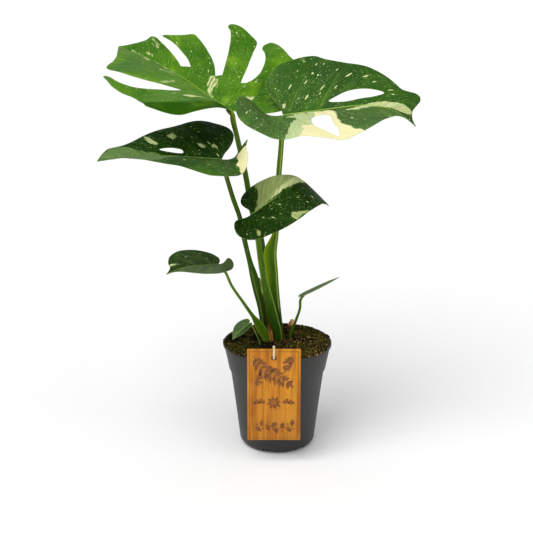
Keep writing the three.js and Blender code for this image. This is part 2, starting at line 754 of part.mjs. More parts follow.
// Each petiole gives way to the blade it carries and to the petioles cut before it
const cutBefore = [];
for (const leaf of LEAVES) {
  const fattened = bladeSolid(leaf, BLADE + 2 * GAP);
  const stalk = subtractAll(petioleSolid(leaf.name, 0), [fattened, ...cutBefore]);
  addPiece(`petiole_${leaf.name}`, stalk, 0x5b8a2e, 0.5);
  cutBefore.push(petioleSolid(leaf.name, GAP));
}

const drySheath = (grow) => sweptStations(DRY_SHEATH, grow, 8, PETIOLE_STEP);
addPiece('dry_sheath', subtractAll(drySheath(0), cutBefore), 0x8a5a36, 0.8);
addPiece('stem_stub', subtractAll(stubSolid(0), cutBefore), 0x5c4330, 0.9);
addPiece('bark_chip', barkChip(0), 0xb98d62, 0.85);
addPiece('soil', soilBlock([...cutBefore, drySheath(GAP), stubSolid(GAP), barkChip(GAP)]), 0x2a211b, 0.95);
addPiece('tag', tagBoard(), 0xc98a3c, 0.6);
addPiece('twine', twineLoop(), 0xd8c7a4, 0.9);

export default model;
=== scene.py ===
# Dresses a young variegated monstera: veined, flecked leaf blades on sheathed petioles, a moulded nursery
# pot, crumbly soil with moss, a wooden plant tag and its twisted twine. Shapes are worked out in millimetres
# and written to meshes in metres.
import math

import bpy
import numpy as np
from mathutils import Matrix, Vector
from mathutils.geometry import delaunay_2d_cdt


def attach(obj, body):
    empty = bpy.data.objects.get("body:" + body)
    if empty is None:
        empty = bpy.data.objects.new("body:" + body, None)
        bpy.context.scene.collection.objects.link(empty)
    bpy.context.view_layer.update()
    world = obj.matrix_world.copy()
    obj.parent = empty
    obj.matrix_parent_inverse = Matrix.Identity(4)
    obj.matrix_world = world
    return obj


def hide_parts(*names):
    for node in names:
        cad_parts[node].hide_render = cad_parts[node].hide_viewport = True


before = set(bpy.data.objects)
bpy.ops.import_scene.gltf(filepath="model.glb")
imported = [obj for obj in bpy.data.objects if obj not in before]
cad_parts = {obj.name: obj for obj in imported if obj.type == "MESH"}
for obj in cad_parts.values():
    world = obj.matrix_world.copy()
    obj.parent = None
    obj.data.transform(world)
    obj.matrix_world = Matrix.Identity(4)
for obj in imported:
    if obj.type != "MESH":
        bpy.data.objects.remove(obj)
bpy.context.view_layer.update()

MM = 0.001

# Leaves: the flat outlines and the pose of each blade. u runs along the midrib from the petiole, v across
# it, positive on the left half. Each half is a list of smooth lobes with slits between them, and some have
# holes. Angles are in degrees. Pairs are for the left and the right half: "fold" is how far it stands up
# beside the midrib, "curl" how much it bends in 100 mm across, "lift" how far its part behind the petiole is
# raised. "droop" is the bend of the midrib and the shares of the length where it starts and ends.

LEAVES = {
    "a": {
        "joint": (-49.2, 25, 372.3), "length": 196, "heading": 134, "pitch": 17.5, "roll": 7.5, "twist": -8,
        "droop": (11, 0.3, 1), "fold": (22, 28), "curl": (41, 5), "lift": (0, 10), "ripple": 1.6,
        "left": [
            [(0, 0), (-3, 10), (-7, 30), (-12, 52), (-14.5, 74), (-13.5, 93), (1, 110), (14, 113), (34, 103),
             (50, 101), (64, 108), (76, 112), (91, 108.5), (100, 102.5), (79, 102.5), (66, 94), (57, 84),
             (47, 70), (39, 58), (36, 47)],
            [(41, 48), (56, 59.5), (70, 74), (84, 84.5), (103, 85.5), (121, 81), (129, 65.5), (137, 54.5),
             (150, 42), (165, 28), (182, 12), (196, 0)],
        ],
        "right": [
            [(0, 0), (-14, 10), (-36, 26), (-44, 50), (-38, 78), (-15, 98), (14, 107), (28, 106), (42, 110),
             (60, 119), (67, 119), (68, 110), (64.5, 102), (53, 94), (42, 84.5), (34, 75), (27.5, 64),
             (24.5, 52), (25, 43)],
            [(29, 38), (33, 43), (42, 57), (52, 71), (64, 88), (76, 105), (81, 106), (87, 105), (97, 103),
             (103, 101), (109, 98), (111.5, 94.5), (110, 91), (104, 88.5), (98, 84), (85, 70), (73, 55.5),
             (55, 33.5)],
            [(59, 27), (73, 38), (84, 44), (97, 49), (109.5, 53.5), (121, 57.5), (133, 61), (142, 54),
             (151.5, 47.5), (161.5, 39.5), (150, 38), (136.5, 35.5), (120, 30), (104, 25), (91, 18.5)],
            [(101, 12), (109, 15.5), (131, 23), (150.5, 29), (166.5, 33), (171.5, 31), (172, 23.5),
             (178.5, 14.5), (188, 5.5), (196, 0)],
        ],
        "veins": 11,
    },
    "b": {
        "joint": (5.5, 2, 372.9), "length": 156, "heading": 2, "pitch": 7.5, "roll": 27, "twist": 3,
        "droop": (55, 0.4, 1), "fold": (26, 22), "curl": (15, 20), "lift": (12, 62), "ripple": 1.4,
        "left": [
            [(0, 0), (-2, 9), (-11, 25), (-15, 39), (-8, 50), (3, 60), (17, 64.5), (30, 68.5), (42, 68),
             (54, 60), (73, 51.5), (92, 47), (106.5, 39.5), (120, 31.5), (126, 29), (134, 31), (144.5, 35.5),
             (151, 36), (152.5, 31.5), (149, 23), (145, 12), (148, 4), (156, 0)],
        ],
        "left_holes": [
            [(50, 9), (58, 13), (69, 17), (82, 19), (96, 19), (108, 17), (98, 11), (84, 8), (67, 6)],
        ],
        "right": [
            [(0, 0), (-10, 0.6), (-26, 1), (-40, 3.4), (-57, 12), (-70, 17.5), (-75, 24.5), (-73.5, 31),
             (-68, 36.5), (-57, 42), (-41, 48), (-18, 56.6), (1, 60), (15, 59.5), (28, 65), (42, 69),
             (57, 72), (66, 70), (74, 66), (82, 60), (90, 51), (99, 38.5), (109, 27), (119, 16), (132, 8),
             (145, 3), (156, 0)],
        ],
        "right_holes": [
            [(29, 22), (30, 40), (37, 50), (46, 60), (53, 66), (54, 54), (50, 36), (47, 18), (36, 16)],
        ],
        "veins": 10,
    },
    "c": {
        "joint": (-59.4, -12, 328.3), "length": 132.3, "heading": 190, "pitch": 6.5, "roll": -12, "twist": 11,
        "droop": (15, 0.3, 1), "fold": (19, 20), "curl": (24, 23), "lift": (88, 15), "ripple": 1,
        "left": [
            [(0, 0), (-8, 2), (-20, 6), (-34, 14.5), (-44, 17.6), (-52, 19.4), (-46, 20.9), (-42.5, 23.4),
             (-41, 28), (-36, 33), (-28, 40), (-18, 51.5), (-6, 65), (7, 73), (20, 73), (34, 67), (50, 64),
             (64, 62), (74, 54), (85, 44), (100, 36), (118, 14), (132.3, 0)],
        ],
        "right": [
            [(0, 0), (-4, 9), (-10, 18), (-15, 28), (-17, 38), (-15, 49), (-9, 58), (0, 64), (11, 67),
             (25, 66), (40, 61), (57, 52), (73, 41.5), (83, 34.5), (93, 27), (103, 22), (111, 20.5),
             (119, 19), (126, 11), (132.3, 0)],
        ],
        "right_holes": [[(41, 6), (42, 11), (54, 13.5), (66, 10), (56, 6.5)]],
        "veins": 9,
    },
    "d": {
        "joint": (-27.5, -28, 273.1), "length": 110, "heading": -3, "pitch": 36, "roll": 38, "twist": -5,
        "droop": (86, 0.2, 0.8), "fold": (-5, 3), "curl": (15, 31), "lift": (10, 70), "ripple": 0.7,
        "left": [
            [(0, 0), (-2, 8), (-6, 17), (-7, 25), (-3, 32), (6, 36), (17, 37), (29, 35), (41, 32), (53, 29),
             (66, 28), (80, 26), (95, 18), (110, 0)],
        ],
        "right": [
            [(0, 0), (-4, 0.5), (-12, 0.8), (-18.5, 3), (-24.5, 8), (-27.5, 14.5), (-27.4, 18), (-26, 21.5),
             (-21, 25.5), (-12, 30.2), (-1, 34.4), (9, 37), (21, 40), (33, 41), (46, 39), (60, 32), (74, 22),
             (90, 10), (110, 0)],
        ],
        "veins": 8,
    },
    "e": {
        "joint": (-63.4, -20, 214.5), "length": 70, "heading": 220, "pitch": 8.5, "roll": -9, "twist": 12,
        "droop": (22, 0.4, 1), "fold": (5, 18), "curl": (26, 16), "lift": (88, 15), "ripple": 0.5,
        "left": [
            [(0, 0), (-5, 0.5), (-10, 0.7), (-13, 2.4), (-14.8, 6), (-14.4, 10), (-11.5, 13.6), (-5, 17.2),
             (5, 22), (20, 28), (33, 31), (44, 29), (52, 21), (58, 9), (63, 3), (70, 0)],
        ],
        "right": [
            [(0, 0), (-5, 5), (-6, 10), (-1, 18), (10, 25), (21, 29), (30, 30), (40, 28), (50, 23), (57, 15),
             (61, 6), (70, 0)],
        ],
        "veins": 6,
    },
    "f": {
        "joint": (-30.5, -35, 152), "length": 26, "heading": 216, "pitch": -26, "roll": -20, "twist": 0,
        "droop": (22, 0.2, 1), "fold": (18, 18), "curl": (20, 20), "lift": (0, 0), "ripple": 0,
        "left": [[(0, 0), (-2, 1.6), (-1.5, 3.6), (3, 5.6), (9, 6.8), (15, 6.2), (20, 4), (26, 0)]],
        "right": [[(0, 0), (-3, 2.5), (-2, 5.5), (3, 8), (9, 9), (15, 8), (20, 5), (26, 0)]],
        "veins": 4,
    },
    "g": {
        "joint": (26, 5, 169), "length": 47, "heading": 0, "pitch": 25, "roll": -11.5, "twist": 0,
        "droop": (-6, 0, 1), "fold": (7, 7), "curl": (16, 16), "lift": (0, 0), "ripple": 0.3,
        "left": [[(0, 0), (-3, 4), (-2, 10), (4, 14), (13, 15), (24, 14), (34, 10), (41, 5), (47, 0)]],
        "right": [[(0, 0), (-3, 4), (-2, 10), (4, 14), (13, 15), (24, 14), (34, 10), (41, 5), (47, 0)]],
        "veins": 5,
    },
}

# Variegation drawn on the flat blades, as polygons of (u, v): cream areas, greenish streaks and paler green
# areas
CREAM = {
    "b": [
        [(2, -1), (18, -2), (35, -4), (50, -7), (54, -11), (57, -35), (62, -47), (67, -51), (70, -58),
         (77, -60), (78, -76), (55, -80), (34, -74), (8, -70), (4, -62), (14, -53), (16, -37), (23, -37),
         (29, -34), (31, -18), (31, -7), (17, -4)],
    ],
    "c": [
        [(-22, 17), (-30, 18), (-37, 19), (-44, 21), (-50, 24), (-56, 30), (-42, 46), (-18, 64), (-13, 50),
         (-16, 40), (-14, 31), (-23, 26)],
    ],
}
STREAKS = {
    "a": [
        [(58, -15), (62, -23), (60, -27), (53, -20), (48, -11), (50.5, -8.5)],
        [(54, -19), (55, -25), (49, -22), (41, -14), (47, -13)],
        [(50, -8), (48, -12), (44, -11.5), (36, -3), (30, 1), (38, -0.5)],
        [(123, 7.5), (118, 5.5), (104, 8), (85.5, 11.6), (98, 12.5), (110, 10)],
        [(90, 33), (91.5, 24), (85.5, 12.5), (84, 16), (87, 26)],
        [(174, -2), (166, -1.6), (155, -1), (146, 1), (138, 7), (127, 13.5), (124, 19), (132, 17),
         (142, 8.5), (152, 2.6), (160, 1.8), (167, 1.6)],
        [(169.4, -28.2), (165.5, -28.8), (156.5, -26.9), (150.3, -24.4), (155, -24.8), (163.6, -26.6)],
        [(161, -22), (156, -21.6), (152.6, -19.6), (154, -18.4), (158, -19.4)],
        [(159, -24.6), (152, -22.6), (146.7, -20), (147.2, -18.8), (153, -21.2)],
        [(154, -8), (147, -7.6), (140, -5.4), (146, -5.4), (152, -6.4)],
        [(60, 58), (60.6, 50), (59.4, 35), (57.4, 42), (56.8, 54)],
        [(20.8, 60), (20.2, 49), (18, 40), (15.8, 28), (14, 43.8), (14.4, 57)],
        [(6, -26), (2, -34), (-1, -27)],
    ],
    "b": [
        [(66, -11.5), (74, -7.5), (82, -3), (90, 1.4), (104, 5.4), (116, 8.4), (131, 12.4), (144, 11),
         (143, 7), (130, 2.8), (116, 1.6), (106, -0.4), (96, -4), (87, -9), (76, -13.5)],
        [(4, 13), (3, 8), (1, 7), (1, 12)],
    ],
    "c": [
        [(80, -33), (75, -32), (69, -24), (66, -18), (75, -20)],
        [(55, -35), (50, -42), (46, -35), (51, -28)],
        [(24, -22), (19, -23), (16, -17), (21, -16)],
        [(9, -21), (4, -14), (6, -22)],
    ],
    "d": [
        [(50, 38), (62, 34.5), (78, 31), (70, 26), (58, 29)],
        [(28, 2.4), (44, 5.8), (58, 11), (70, 17), (83, 24), (91, 30), (78, 31), (64, 24), (50, 17), (36, 9)],
    ],
    "e": [[(60, -8.6), (56, -11.4), (50, -7.4), (46, -4.6), (53, -7.4)]],
}
PALE = {
    "b": [
        [(2, -11), (12, -5), (31, -7), (32, -18), (30, -37), (17, -38), (18, -50), (4, -66), (-2, -60),
         (1, -49), (4, -36), (13, -15)],
    ],
    "c": [
        [(131, -2), (122, -14), (112, -20), (100, -17), (84, -7), (70, -3.4), (58, 5), (44, 10), (52, 18),
         (62, 30), (70, 44), (78, 47), (94, 40), (112, 20), (126, 8)],
    ],
    "d": [
        [(14, 40), (24, 44), (38, 42), (50, 37), (62, 36), (76, 34), (93, 30), (83, 22.6), (65, 13),
         (51, 7.2), (39, 3.8), (26, 1.6), (17, 0.6), (5, 0), (9, 7), (15, 21)],
        [(40, -29), (46, -31), (58, -33), (50, -36), (43, -39), (38, -34)],
        [(-2, -24), (1, -28), (-1, -31), (-4, -28)],
    ],
}
# Single flecks large enough to place: (u, v, length, width)
FLECKS = {
    "a": [(97, -92, 5, 1.8), (64, -88, 3, 1.6), (72, -97, 4, 1.4), (38, -43, 4, 1.5), (71, -27, 6, 1.4),
          (80, -37, 4, 1.3), (19, -51, 5, 2.2), (60, -58, 3, 1.2), (20, -78, 4, 1.5), (2, -30, 6, 3),
          (120, -30, 5, 1.2), (136, -38, 6, 1.2), (110, -36, 4, 1), (90, -60, 4, 1.2), (132, 18, 6, 1.2)],
    "b": [(29, 35, 6, 1.7), (43, 56, 4, 1.4), (51, 54, 3, 2), (37.6, 45, 5, 2.8), (43, 42, 4, 2.2),
          (11.5, 31.5, 8, 1.6), (-4, 32, 3, 1.8), (27.5, 17, 8, 1.8), (45.5, 25.4, 8, 1.6),
          (74.6, 36, 9, 1.8), (90, 34, 7, 1.9), (114, 22, 7, 1.3), (117, 18, 5, 1.3), (42, 19, 5, 1.1),
          (70, -34, 5, 2), (-58, -30, 5, 1.6), (-36, -39, 3, 1.6), (-44, -32, 3, 1.4), (-54, -26, 4, 1.3),
          (60, 24, 5, 1.2), (98, 28, 5, 1.1), (22, 50, 3, 1.2), (64, 44, 4, 1)],
    "c": [(12, -24, 6, 1.4), (4, -6, 6, 1.3), (30, -33, 3, 1.4), (-12, 40, 4, 2), (-4, 24, 3, 1.4),
          (20, 40, 4, 1.6), (6, 50, 3, 1.4), (-20, 34, 4, 1.8), (44, 30, 5, 1.2), (70, 26, 6, 1),
          (90, 14, 8, 1.2)],
    "d": [(-14, -22, 3, 2.2), (20, -22, 5, 1.3), (32, -12, 4, 1.1), (60, -20, 4, 1.3), (52, -12, 3, 1.1),
          (70, -10, 4, 1), (10, -14, 4, 1)],
    "e": [(20, 12, 3, 1.1), (10, -10, 3, 1), (34, -16, 3, 1)],
}
# Strips that bend out of the light, as polygons of (u, v), where painted shade makes the green deeper
PAINTED_SHADE_STRIPS = {"a": [[(12, -2), (10, 20), (7, 39), (4.5, 65), (8, 84), (17, 98), (34, 104), (20, 116), (-4, 112),
               (-24, 90), (-18, 40), (-8, 10)]]}

# Petioles from blade to soil: (x, y, z, width, depth) of the oval section at each station
SOIL_FOOT = 107
PETIOLES = {
    "a": [
        (-49.2, 25, 371.2, 5.2, 5.2), (-48, 27, 362, 5.4, 5.2), (-43.5, 36, 339, 5.6, 5.4),
        (-35, 36, 299, 6, 5.6), (-28, 29, 261, 6.2, 5.8), (-18, 24, 229, 6.6, 6), (-15, 22, 200, 7, 6),
        (-10, 20, 172, 7.4, 6.2), (-7, 19, 137, 8, 6.4), (-6, 19, SOIL_FOOT, 8, 6.4),
    ],
    "b": [
        (5.5, 2.4, 371.8, 5.4, 5.2), (4, 6, 344, 5.6, 5.4), (1.2, 14, 304, 6, 5.6),
        (-0.8, 18, 267, 6.2, 5.8), (-2, 18, 238, 7, 5.6), (-8, 15, 215, 15, 5), (-6, 13.5, 197, 13, 5.4),
        (-4, 13, 179, 11, 6), (-1, 12.5, 156, 9, 6.4), (2, 12.5, 132, 8, 6.6), (4, 12.5, SOIL_FOOT, 8, 6.6),
    ],
    "c": [
        (-59.4, -12, 327.2, 4.6, 4.4), (-54, -8, 306, 4.8, 4.6), (-48, -5, 284, 5, 4.8),
        (-41, -2, 262, 5.2, 5), (-36, 0, 236, 5.4, 5.2), (-30, 2.5, 209, 5.8, 5.2), (-26, 3, 194, 8.6, 4.6),
        (-22, 4, 177, 9.4, 4.8), (-18, 5, 159, 8.4, 5.2), (-15.5, 6.5, 140, 8, 5.6),
        (-13, 8, SOIL_FOOT, 8, 5.8),
    ],
    "d": [
        (-27.5, -28, 272, 4.6, 4.6), (-24, -24, 257, 5.2, 5), (-21, -19, 241, 6, 5.4),
        (-18, -13, 215, 6.6, 5.6), (-13, -8.5, 186, 8, 5.6), (-8, -5, 162, 10.4, 5.4),
        (-4, -2, 143, 11.4, 5.6), (0, 0.5, 124, 11, 6), (1, 1, SOIL_FOOT, 10, 6),
    ],
    "e": [
        (-63.4, -20, 213.4, 2.8, 2.8), (-56, -20, 204.5, 2.9, 2.9), (-50, -19, 190, 3.1, 3),
        (-37, -14, 168, 3.4, 3.3), (-27, -9, 151, 4.6, 3.8), (-21, -6, 141, 9, 4),
        (-16.5, -4, 132, 10.5, 4.2), (-12, -3, 121, 9, 4.6), (-11, -3, SOIL_FOOT, 7.5, 4.6),
    ],
    "f": [
        (-30.5, -35, 150.9, 1.6, 1.6), (-27, -29, 146, 1.7, 1.7), (-22, -18, 131, 1.9, 1.9),
        (-19.4, -12, 122, 2.2, 2), (-18.4, -10, SOIL_FOOT, 2.4, 2.2),
    ],
    "g": [
        (25.6, 5, 167.8, 2.6, 2.6), (25, 6, 155, 2.8, 2.8), (20, 8, 138, 3, 3), (14.5, 10, 122, 3.4, 3.2),
        (13, 10.5, SOIL_FOOT, 3.6, 3.4),
    ],
}
# The dry bud sheath from its tip down, in the same terms
DRY_SHEATH = [
    (-20, -3, 193, 1.4, 1), (-15.4, -2.6, 175, 2.8, 1.2), (-12.6, -2.4, 157, 3, 1.4),
    (-9.6, -2, 140, 3.6, 1.6), (-6.6, -4, 124, 4, 1.8), (-6, -4.2, SOIL_FOOT, 4, 1.8),
]

# Blades: thickness, spacing of their points, the midrib length up to which there are no finer rows beside it,
# how far the inner points stay from the margins and from the midrib, how wide the thinned margin is, and how
# far in and out the patches are measured
BLADE_THICKNESS = 0.7
BLADE_GRID = 1.5
SMALL_BLADE = 60
MARGIN_CLEAR = 0.55
MIDRIB_CLEAR = 0.4
MARGIN_WIDTH = 1.2
PATCH_REACH = 12.0

# Pot, soil, tag and twine
POT_HEIGHT = 118
POT_SIDES = 144
NOTCHES = 6
RIM_RADIUS = 60
BAND_FOOT_RADIUS = 53.6
BAND_FOOT_HEIGHT = 89
BODY_TOP_RADIUS = 52
BODY_FOOT_RADIUS = 41.5
CHAMFER_HEIGHT = 6
FOOT_RADIUS = 34
WALL = 1.4
SOIL_RADIUS = 57.1
SOIL_RINGS = 46
SOIL_SIDES = 150
SOIL_EDGE_HEIGHT = 115.5
SOIL_MOUND = 3
SOIL_LUMP = 0.8
TAG_WIDTH = 57.5
TAG_HEIGHT = 105.5
TAG_CENTRE_X = -4
TAG_FOOT = 27
TAG_BACK = -60.3
TAG_FRONT = -62.9
TAG_TOP = TAG_FOOT + TAG_HEIGHT
TAG_HOLE = TAG_TOP - 10
TAG_HOLE_RADIUS = 2.8
BURN_RISE = 0.06
TWINE_RADIUS = 1.5
# The twine is grown in metres
PLY_RADIUS = 0.00085
PLY_OFFSET = 0.00062
TWINE_PITCH = 0.0056
TWINE_STEP = 0.0007

# Floor radius in mm, strength of the white surroundings, and the lamps: name, place in m, spread in degrees,
# strength
FLOOR_RADIUS = 14000
WORLD_STRENGTH = 0.58
LAMPS = (
    ("key", (-0.8, -1.0, 1.65), 50, 2.3),
    ("fill", (1.3, -1.0, 0.85), 50, 0.6),
)
# Camera: place in m, degrees that it looks down, focal length and sensor in mm
CAMERA_PLACE = (-0.012, -1.6, 0.725)
CAMERA_DOWN = 18
CAMERA_LENS = 104.15
CAMERA_SENSOR = 36


# Meshes

def link_piece(name, data):
    piece = bpy.data.objects.new(name, data)
    bpy.context.scene.collection.objects.link(piece)
    return piece


def soften(mesh, angle):
    """Smooth shading, save over edges sharper than the angle in degrees."""
    mesh.shade_smooth()
    mesh.set_sharp_from_angle(angle=math.radians(angle))
    return mesh


def add_piece(name, points, faces, material, values=None, smooth_angle=50):
    """A mesh object from points in millimetres, with one float attribute for each entry of values."""
    mesh = bpy.data.meshes.new(name)
    mesh.from_pydata([tuple(p) for p in np.asarray(points, float) * MM], [], [tuple(f) for f in faces])
    for label, numbers in (values or {}).items():
        layer = mesh.attributes.new(label, "FLOAT", "POINT")
        layer.data.foreach_set("value", np.asarray(numbers, np.float32))
    mesh.materials.append(material)
    return link_piece(name, soften(mesh, smooth_angle))


def settled_mesh(piece, smooth_angle):
    """The piece's shape with its modifiers worked in, as a plain mesh."""
    graph = bpy.context.evaluated_depsgraph_get()
    mesh = bpy.data.meshes.new_from_object(
        piece.evaluated_get(graph), preserve_all_data_layers=True, depsgraph=graph)
    piece.modifiers.clear()
    return soften(mesh, smooth_angle)


def dress(piece, slot, *nodes):
    """The piece rides with the plant and stands for the given CAD nodes. The slot is not used."""
    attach(piece, "root")
    if nodes:
        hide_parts(*nodes)


def smooth(x):
    t = np.clip(x, 0, 1)
    return t * t * (3 - 2 * t)


def full_turn(sides):
    return np.linspace(0, 2 * math.pi, sides, endpoint=False)


def unit(vectors):
    return vectors / np.linalg.norm(vectors, axis=1)[:, None]


def lengths_along(points):
    return np.concatenate([[0], np.cumsum(np.linalg.norm(np.diff(points, axis=0), axis=1))])


def catmull(points, closed=False, per_span=16):
    """A centripetal curve through the points, as a dense run."""
    p = [np.asarray(q, float) for q in points]
    count = len(p)
    run = []
    for i in range(count if closed else count - 1):
        one, two = p[i], p[(i + 1) % count]
        zero = p[i - 1] if closed or i > 0 else 2 * p[0] - p[1]
        three = p[(i + 2) % count] if closed or i + 2 < count else 2 * p[-1] - p[-2]
        d0, d1, d2 = (max(np.linalg.norm(b - a), 1e-8) ** 0.5
                      for a, b in ((zero, one), (one, two), (two, three)))
        m1 = ((one - zero) / d0 - (two - zero) / (d0 + d1) + (two - one) / d1) * d1
        m2 = ((two - one) / d1 - (three - one) / (d1 + d2) + (three - two) / d2) * d1
        for t in (step / per_span for step in range(per_span)):
            run.append((2 * t**3 - 3 * t**2 + 1) * one + (t**3 - 2 * t**2 + t) * m1
                       + (3 * t**2 - 2 * t**3) * two + (t**3 - t**2) * m2)
    run.append(p[0] if closed else p[-1])
    return np.array(run)


def even_run(points, step, closed=False):
    """The same curve at even steps of about the given length."""
    dense = catmull(points, closed)
    lengths = lengths_along(dense)
    places = np.linspace(0, lengths[-1], max(3, round(lengths[-1] / step)) + 1)
    run = np.stack([np.interp(places, lengths, axis) for axis in dense.T], axis=1)
    return run[:-1] if closed else run


def inside(points, polygon):
    """Which points lie inside a closed polygon."""
    x, y = points[:, 0][:, None], points[:, 1][:, None]
    a = np.asarray(polygon, float)
    b = np.roll(a, -1, axis=0)
    crosses = (a[:, 1] > y) != (b[:, 1] > y)
    rise = np.where(np.abs(b[:, 1] - a[:, 1]) < 1e-12, 1e-12, b[:, 1] - a[:, 1])
    at = a[:, 0] + (y - a[:, 1]) * (b[:, 0] - a[:, 0]) / rise
    return (crosses & (x < at)).sum(axis=1) % 2 == 1


def reach_to(points, line):
    """Distance, side and length along a polyline for each point."""
    d = line[1:] - line[:-1]
    size = np.maximum((d**2).sum(axis=1), 1e-12)
    along = np.concatenate([[0], np.cumsum(np.sqrt(size))])
    best, side, place = np.full(len(points), 1e9), np.zeros(len(points)), np.zeros(len(points))
    for i in range(len(d)):
        offset = points - line[i]
        t = np.clip(offset @ d[i] / size[i], 0, 1)
        gap = np.linalg.norm(offset - t[:, None] * d[i], axis=1)
        nearer = gap < best
        best = np.where(nearer, gap, best)
        cross = d[i][0] * offset[:, 1] - d[i][1] * offset[:, 0]
        side = np.where(nearer, np.sign(cross), side)
        place = np.where(nearer, along[i] + t * np.sqrt(size[i]), place)
    return best, side, place


def chain(start, count, closed):
    """Edges along a run of points, and back to its start if it is closed."""
    return [(start + i, start + (i + 1) % count) for i in range(count if closed else count - 1)]


def triangulate(runs, edges, tolerance, belongs):
    """Triangles over the points of all runs, keeping the edges, where their centres belong."""
    flat, _, faces, *_ = delaunay_2d_cdt([tuple(p) for p in np.concatenate(runs)], edges, [], 0, tolerance)
    flat, faces = np.array([tuple(p) for p in flat]), np.array(faces)
    a, b, c = (flat[faces[:, k]] for k in range(3))
    area = (b[:, 0] - a[:, 0]) * (c[:, 1] - a[:, 1]) - (c[:, 0] - a[:, 0]) * (b[:, 1] - a[:, 1])
    keep = belongs(flat[faces].mean(axis=1)) & (np.abs(area) > 1e-5)
    return flat, np.where((area > 0)[:, None], faces, faces[:, ::-1])[keep]


def tube_faces(rings, sides):
    faces = [(low + i, low + (i + 1) % sides, low + sides + (i + 1) % sides, low + sides + i)
             for low in range(0, (rings - 1) * sides, sides) for i in range(sides)]
    return faces + [tuple(range(sides))[::-1], tuple((rings - 1) * sides + i for i in range(sides))]


def lathe(profile, sides):
    """Points and faces of a closed profile turned about Z; points on the axis are single."""
    points, faces, rings = [], [], []
    for radius, height in profile:
        if radius < 1e-6:
            rings.append([len(points)] * sides)
            points.append((0, 0, height))
        else:
            rings.append(list(range(len(points), len(points) + sides)))
            turns = [2 * math.pi * i / sides for i in range(sides)]
            points += [(radius * math.cos(turn), radius * math.sin(turn), height) for turn in turns]
    for low, high in zip(rings, rings[1:]):
        for i, j in chain(0, sides, True):
            face = [low[i], low[j], high[j], high[i]]
            face = [v for n, v in enumerate(face) if v not in face[:n]]
            if len(face) > 2:
                faces.append(tuple(face))
    return points, faces


# Node trees

class Wire:
    """The output of a shader node; +, -, * and / on it add the node that works them out."""

    def __init__(self, finish, socket):
        self.finish, self.socket = finish, socket

    def __add__(self, other):
        return self.finish.math("ADD", self, other)

    def __sub__(self, other):
        return self.finish.math("SUBTRACT", self, other)

    def __rsub__(self, other):
        return self.finish.math("SUBTRACT", other, self)

    def __mul__(self, other):
        return self.finish.math("MULTIPLY", self, other)

    def __truediv__(self, other):
        return self.finish.math("DIVIDE", self, other)


class Nodes:
    """Short calls for adding nodes to a tree."""

    def feed(self, socket, value):
        value = getattr(value, "socket", value)
        if isinstance(value, bpy.types.NodeSocket):
            self.tree.links.new(value, socket)
        else:
            socket.default_value = value

    def node(self, kind, *values, fixed=None, **named):
        """A node with its settings fixed and its inputs fed, the first ones in order, others by name."""
        node = self.tree.nodes.new(kind)
        for label, value in (fixed or {}).items():
            setattr(node, label, value)
        for socket, value in zip(node.inputs, values):
            self.feed(socket, value)
        for label, value in named.items():
            self.feed(node.inputs[label.replace("_", " ")], value)
        return node


class Finish(Nodes):
    """A node material with short calls for the nodes it needs."""

    def __init__(self, name, roughness=0.5):
        self.material = bpy.data.materials.new(name)
        self.material.use_nodes = True
        self.tree = self.material.node_tree
        self.tree.nodes.clear()
        self.shader = self.node("ShaderNodeBsdfPrincipled", Roughness=roughness)
        self.node("ShaderNodeOutputMaterial", self.shader.outputs[0])
        self.place = self.node("ShaderNodeTexCoord").outputs["Object"]

    def wire(self, node, output=0):
        return Wire(self, node.outputs[output])

    def math(self, kind, *values):
        return self.wire(self.node("ShaderNodeMath", *values, fixed={"operation": kind}))

    def value(self, label):
        return self.wire(self.node("ShaderNodeAttribute", fixed={"attribute_name": label}), "Fac")

    def vector(self, x, y, z=0.0):
        return self.wire(self.node("ShaderNodeCombineXYZ", x, y, z))

    def noise(self, scale, detail=3.0, vector=None, rough=0.55):
        return self.wire(self.node("ShaderNodeTexNoise", Vector=vector or self.place, Scale=scale,
                                   Detail=detail, Roughness=rough), "Fac")

    def cells(self, vector):
        node = self.node("ShaderNodeTexVoronoi", Vector=vector, Scale=1.0)
        return self.wire(node, "Distance"), self.wire(node, "Color")

    def split(self, vector):
        node = self.node("ShaderNodeSeparateXYZ", vector)
        return [self.wire(node, k) for k in range(3)]

    def stretch(self, scale, vector=None):
        return self.wire(self.node("ShaderNodeMapping", Vector=vector or self.place, Scale=scale))

    def warp(self, vector, scale, amount):
        """The vector moved about by a smooth noise."""
        noise = self.node("ShaderNodeTexNoise", Vector=vector, Scale=scale)
        return self.wire(self.node("ShaderNodeVectorMath", noise.outputs["Color"], (amount, amount, 0),
                                   vector, fixed={"operation": "MULTIPLY_ADD"}))

    def rise(self, value, low, high):
        """0 below low, 1 above high, smooth between."""
        return self.wire(self.node("ShaderNodeMapRange", value, low, high,
                                   fixed={"interpolation_type": "SMOOTHSTEP"}))

    def span(self, value, low, high, to_low, to_high):
        return self.wire(self.node("ShaderNodeMapRange", value, low, high, to_low, to_high))

    def mix(self, share, one, two):
        node = self.node("ShaderNodeMix", fixed={"data_type": "RGBA"}, Factor=share)
        self.feed(node.inputs[6], one)
        self.feed(node.inputs[7], two)
        return self.wire(node, 2)

    def coats(self, colour, *coats):
        """The colour under a row of coats, each a share and a tone."""
        for share, coat in coats:
            colour = self.mix(share, colour, coat)
        return colour

    def bump(self, height, distance, strength):
        return self.wire(self.node("ShaderNodeBump", Height=height, Distance=distance, Strength=strength))

    def finish(self, colour, roughness=None, normal=None, **more):
        for label, value in {"Base Color": colour, "Roughness": roughness, "Normal": normal, **more}.items():
            if value is not None:
                self.feed(self.shader.inputs[label.replace("_", " ")], value)
        return self.material


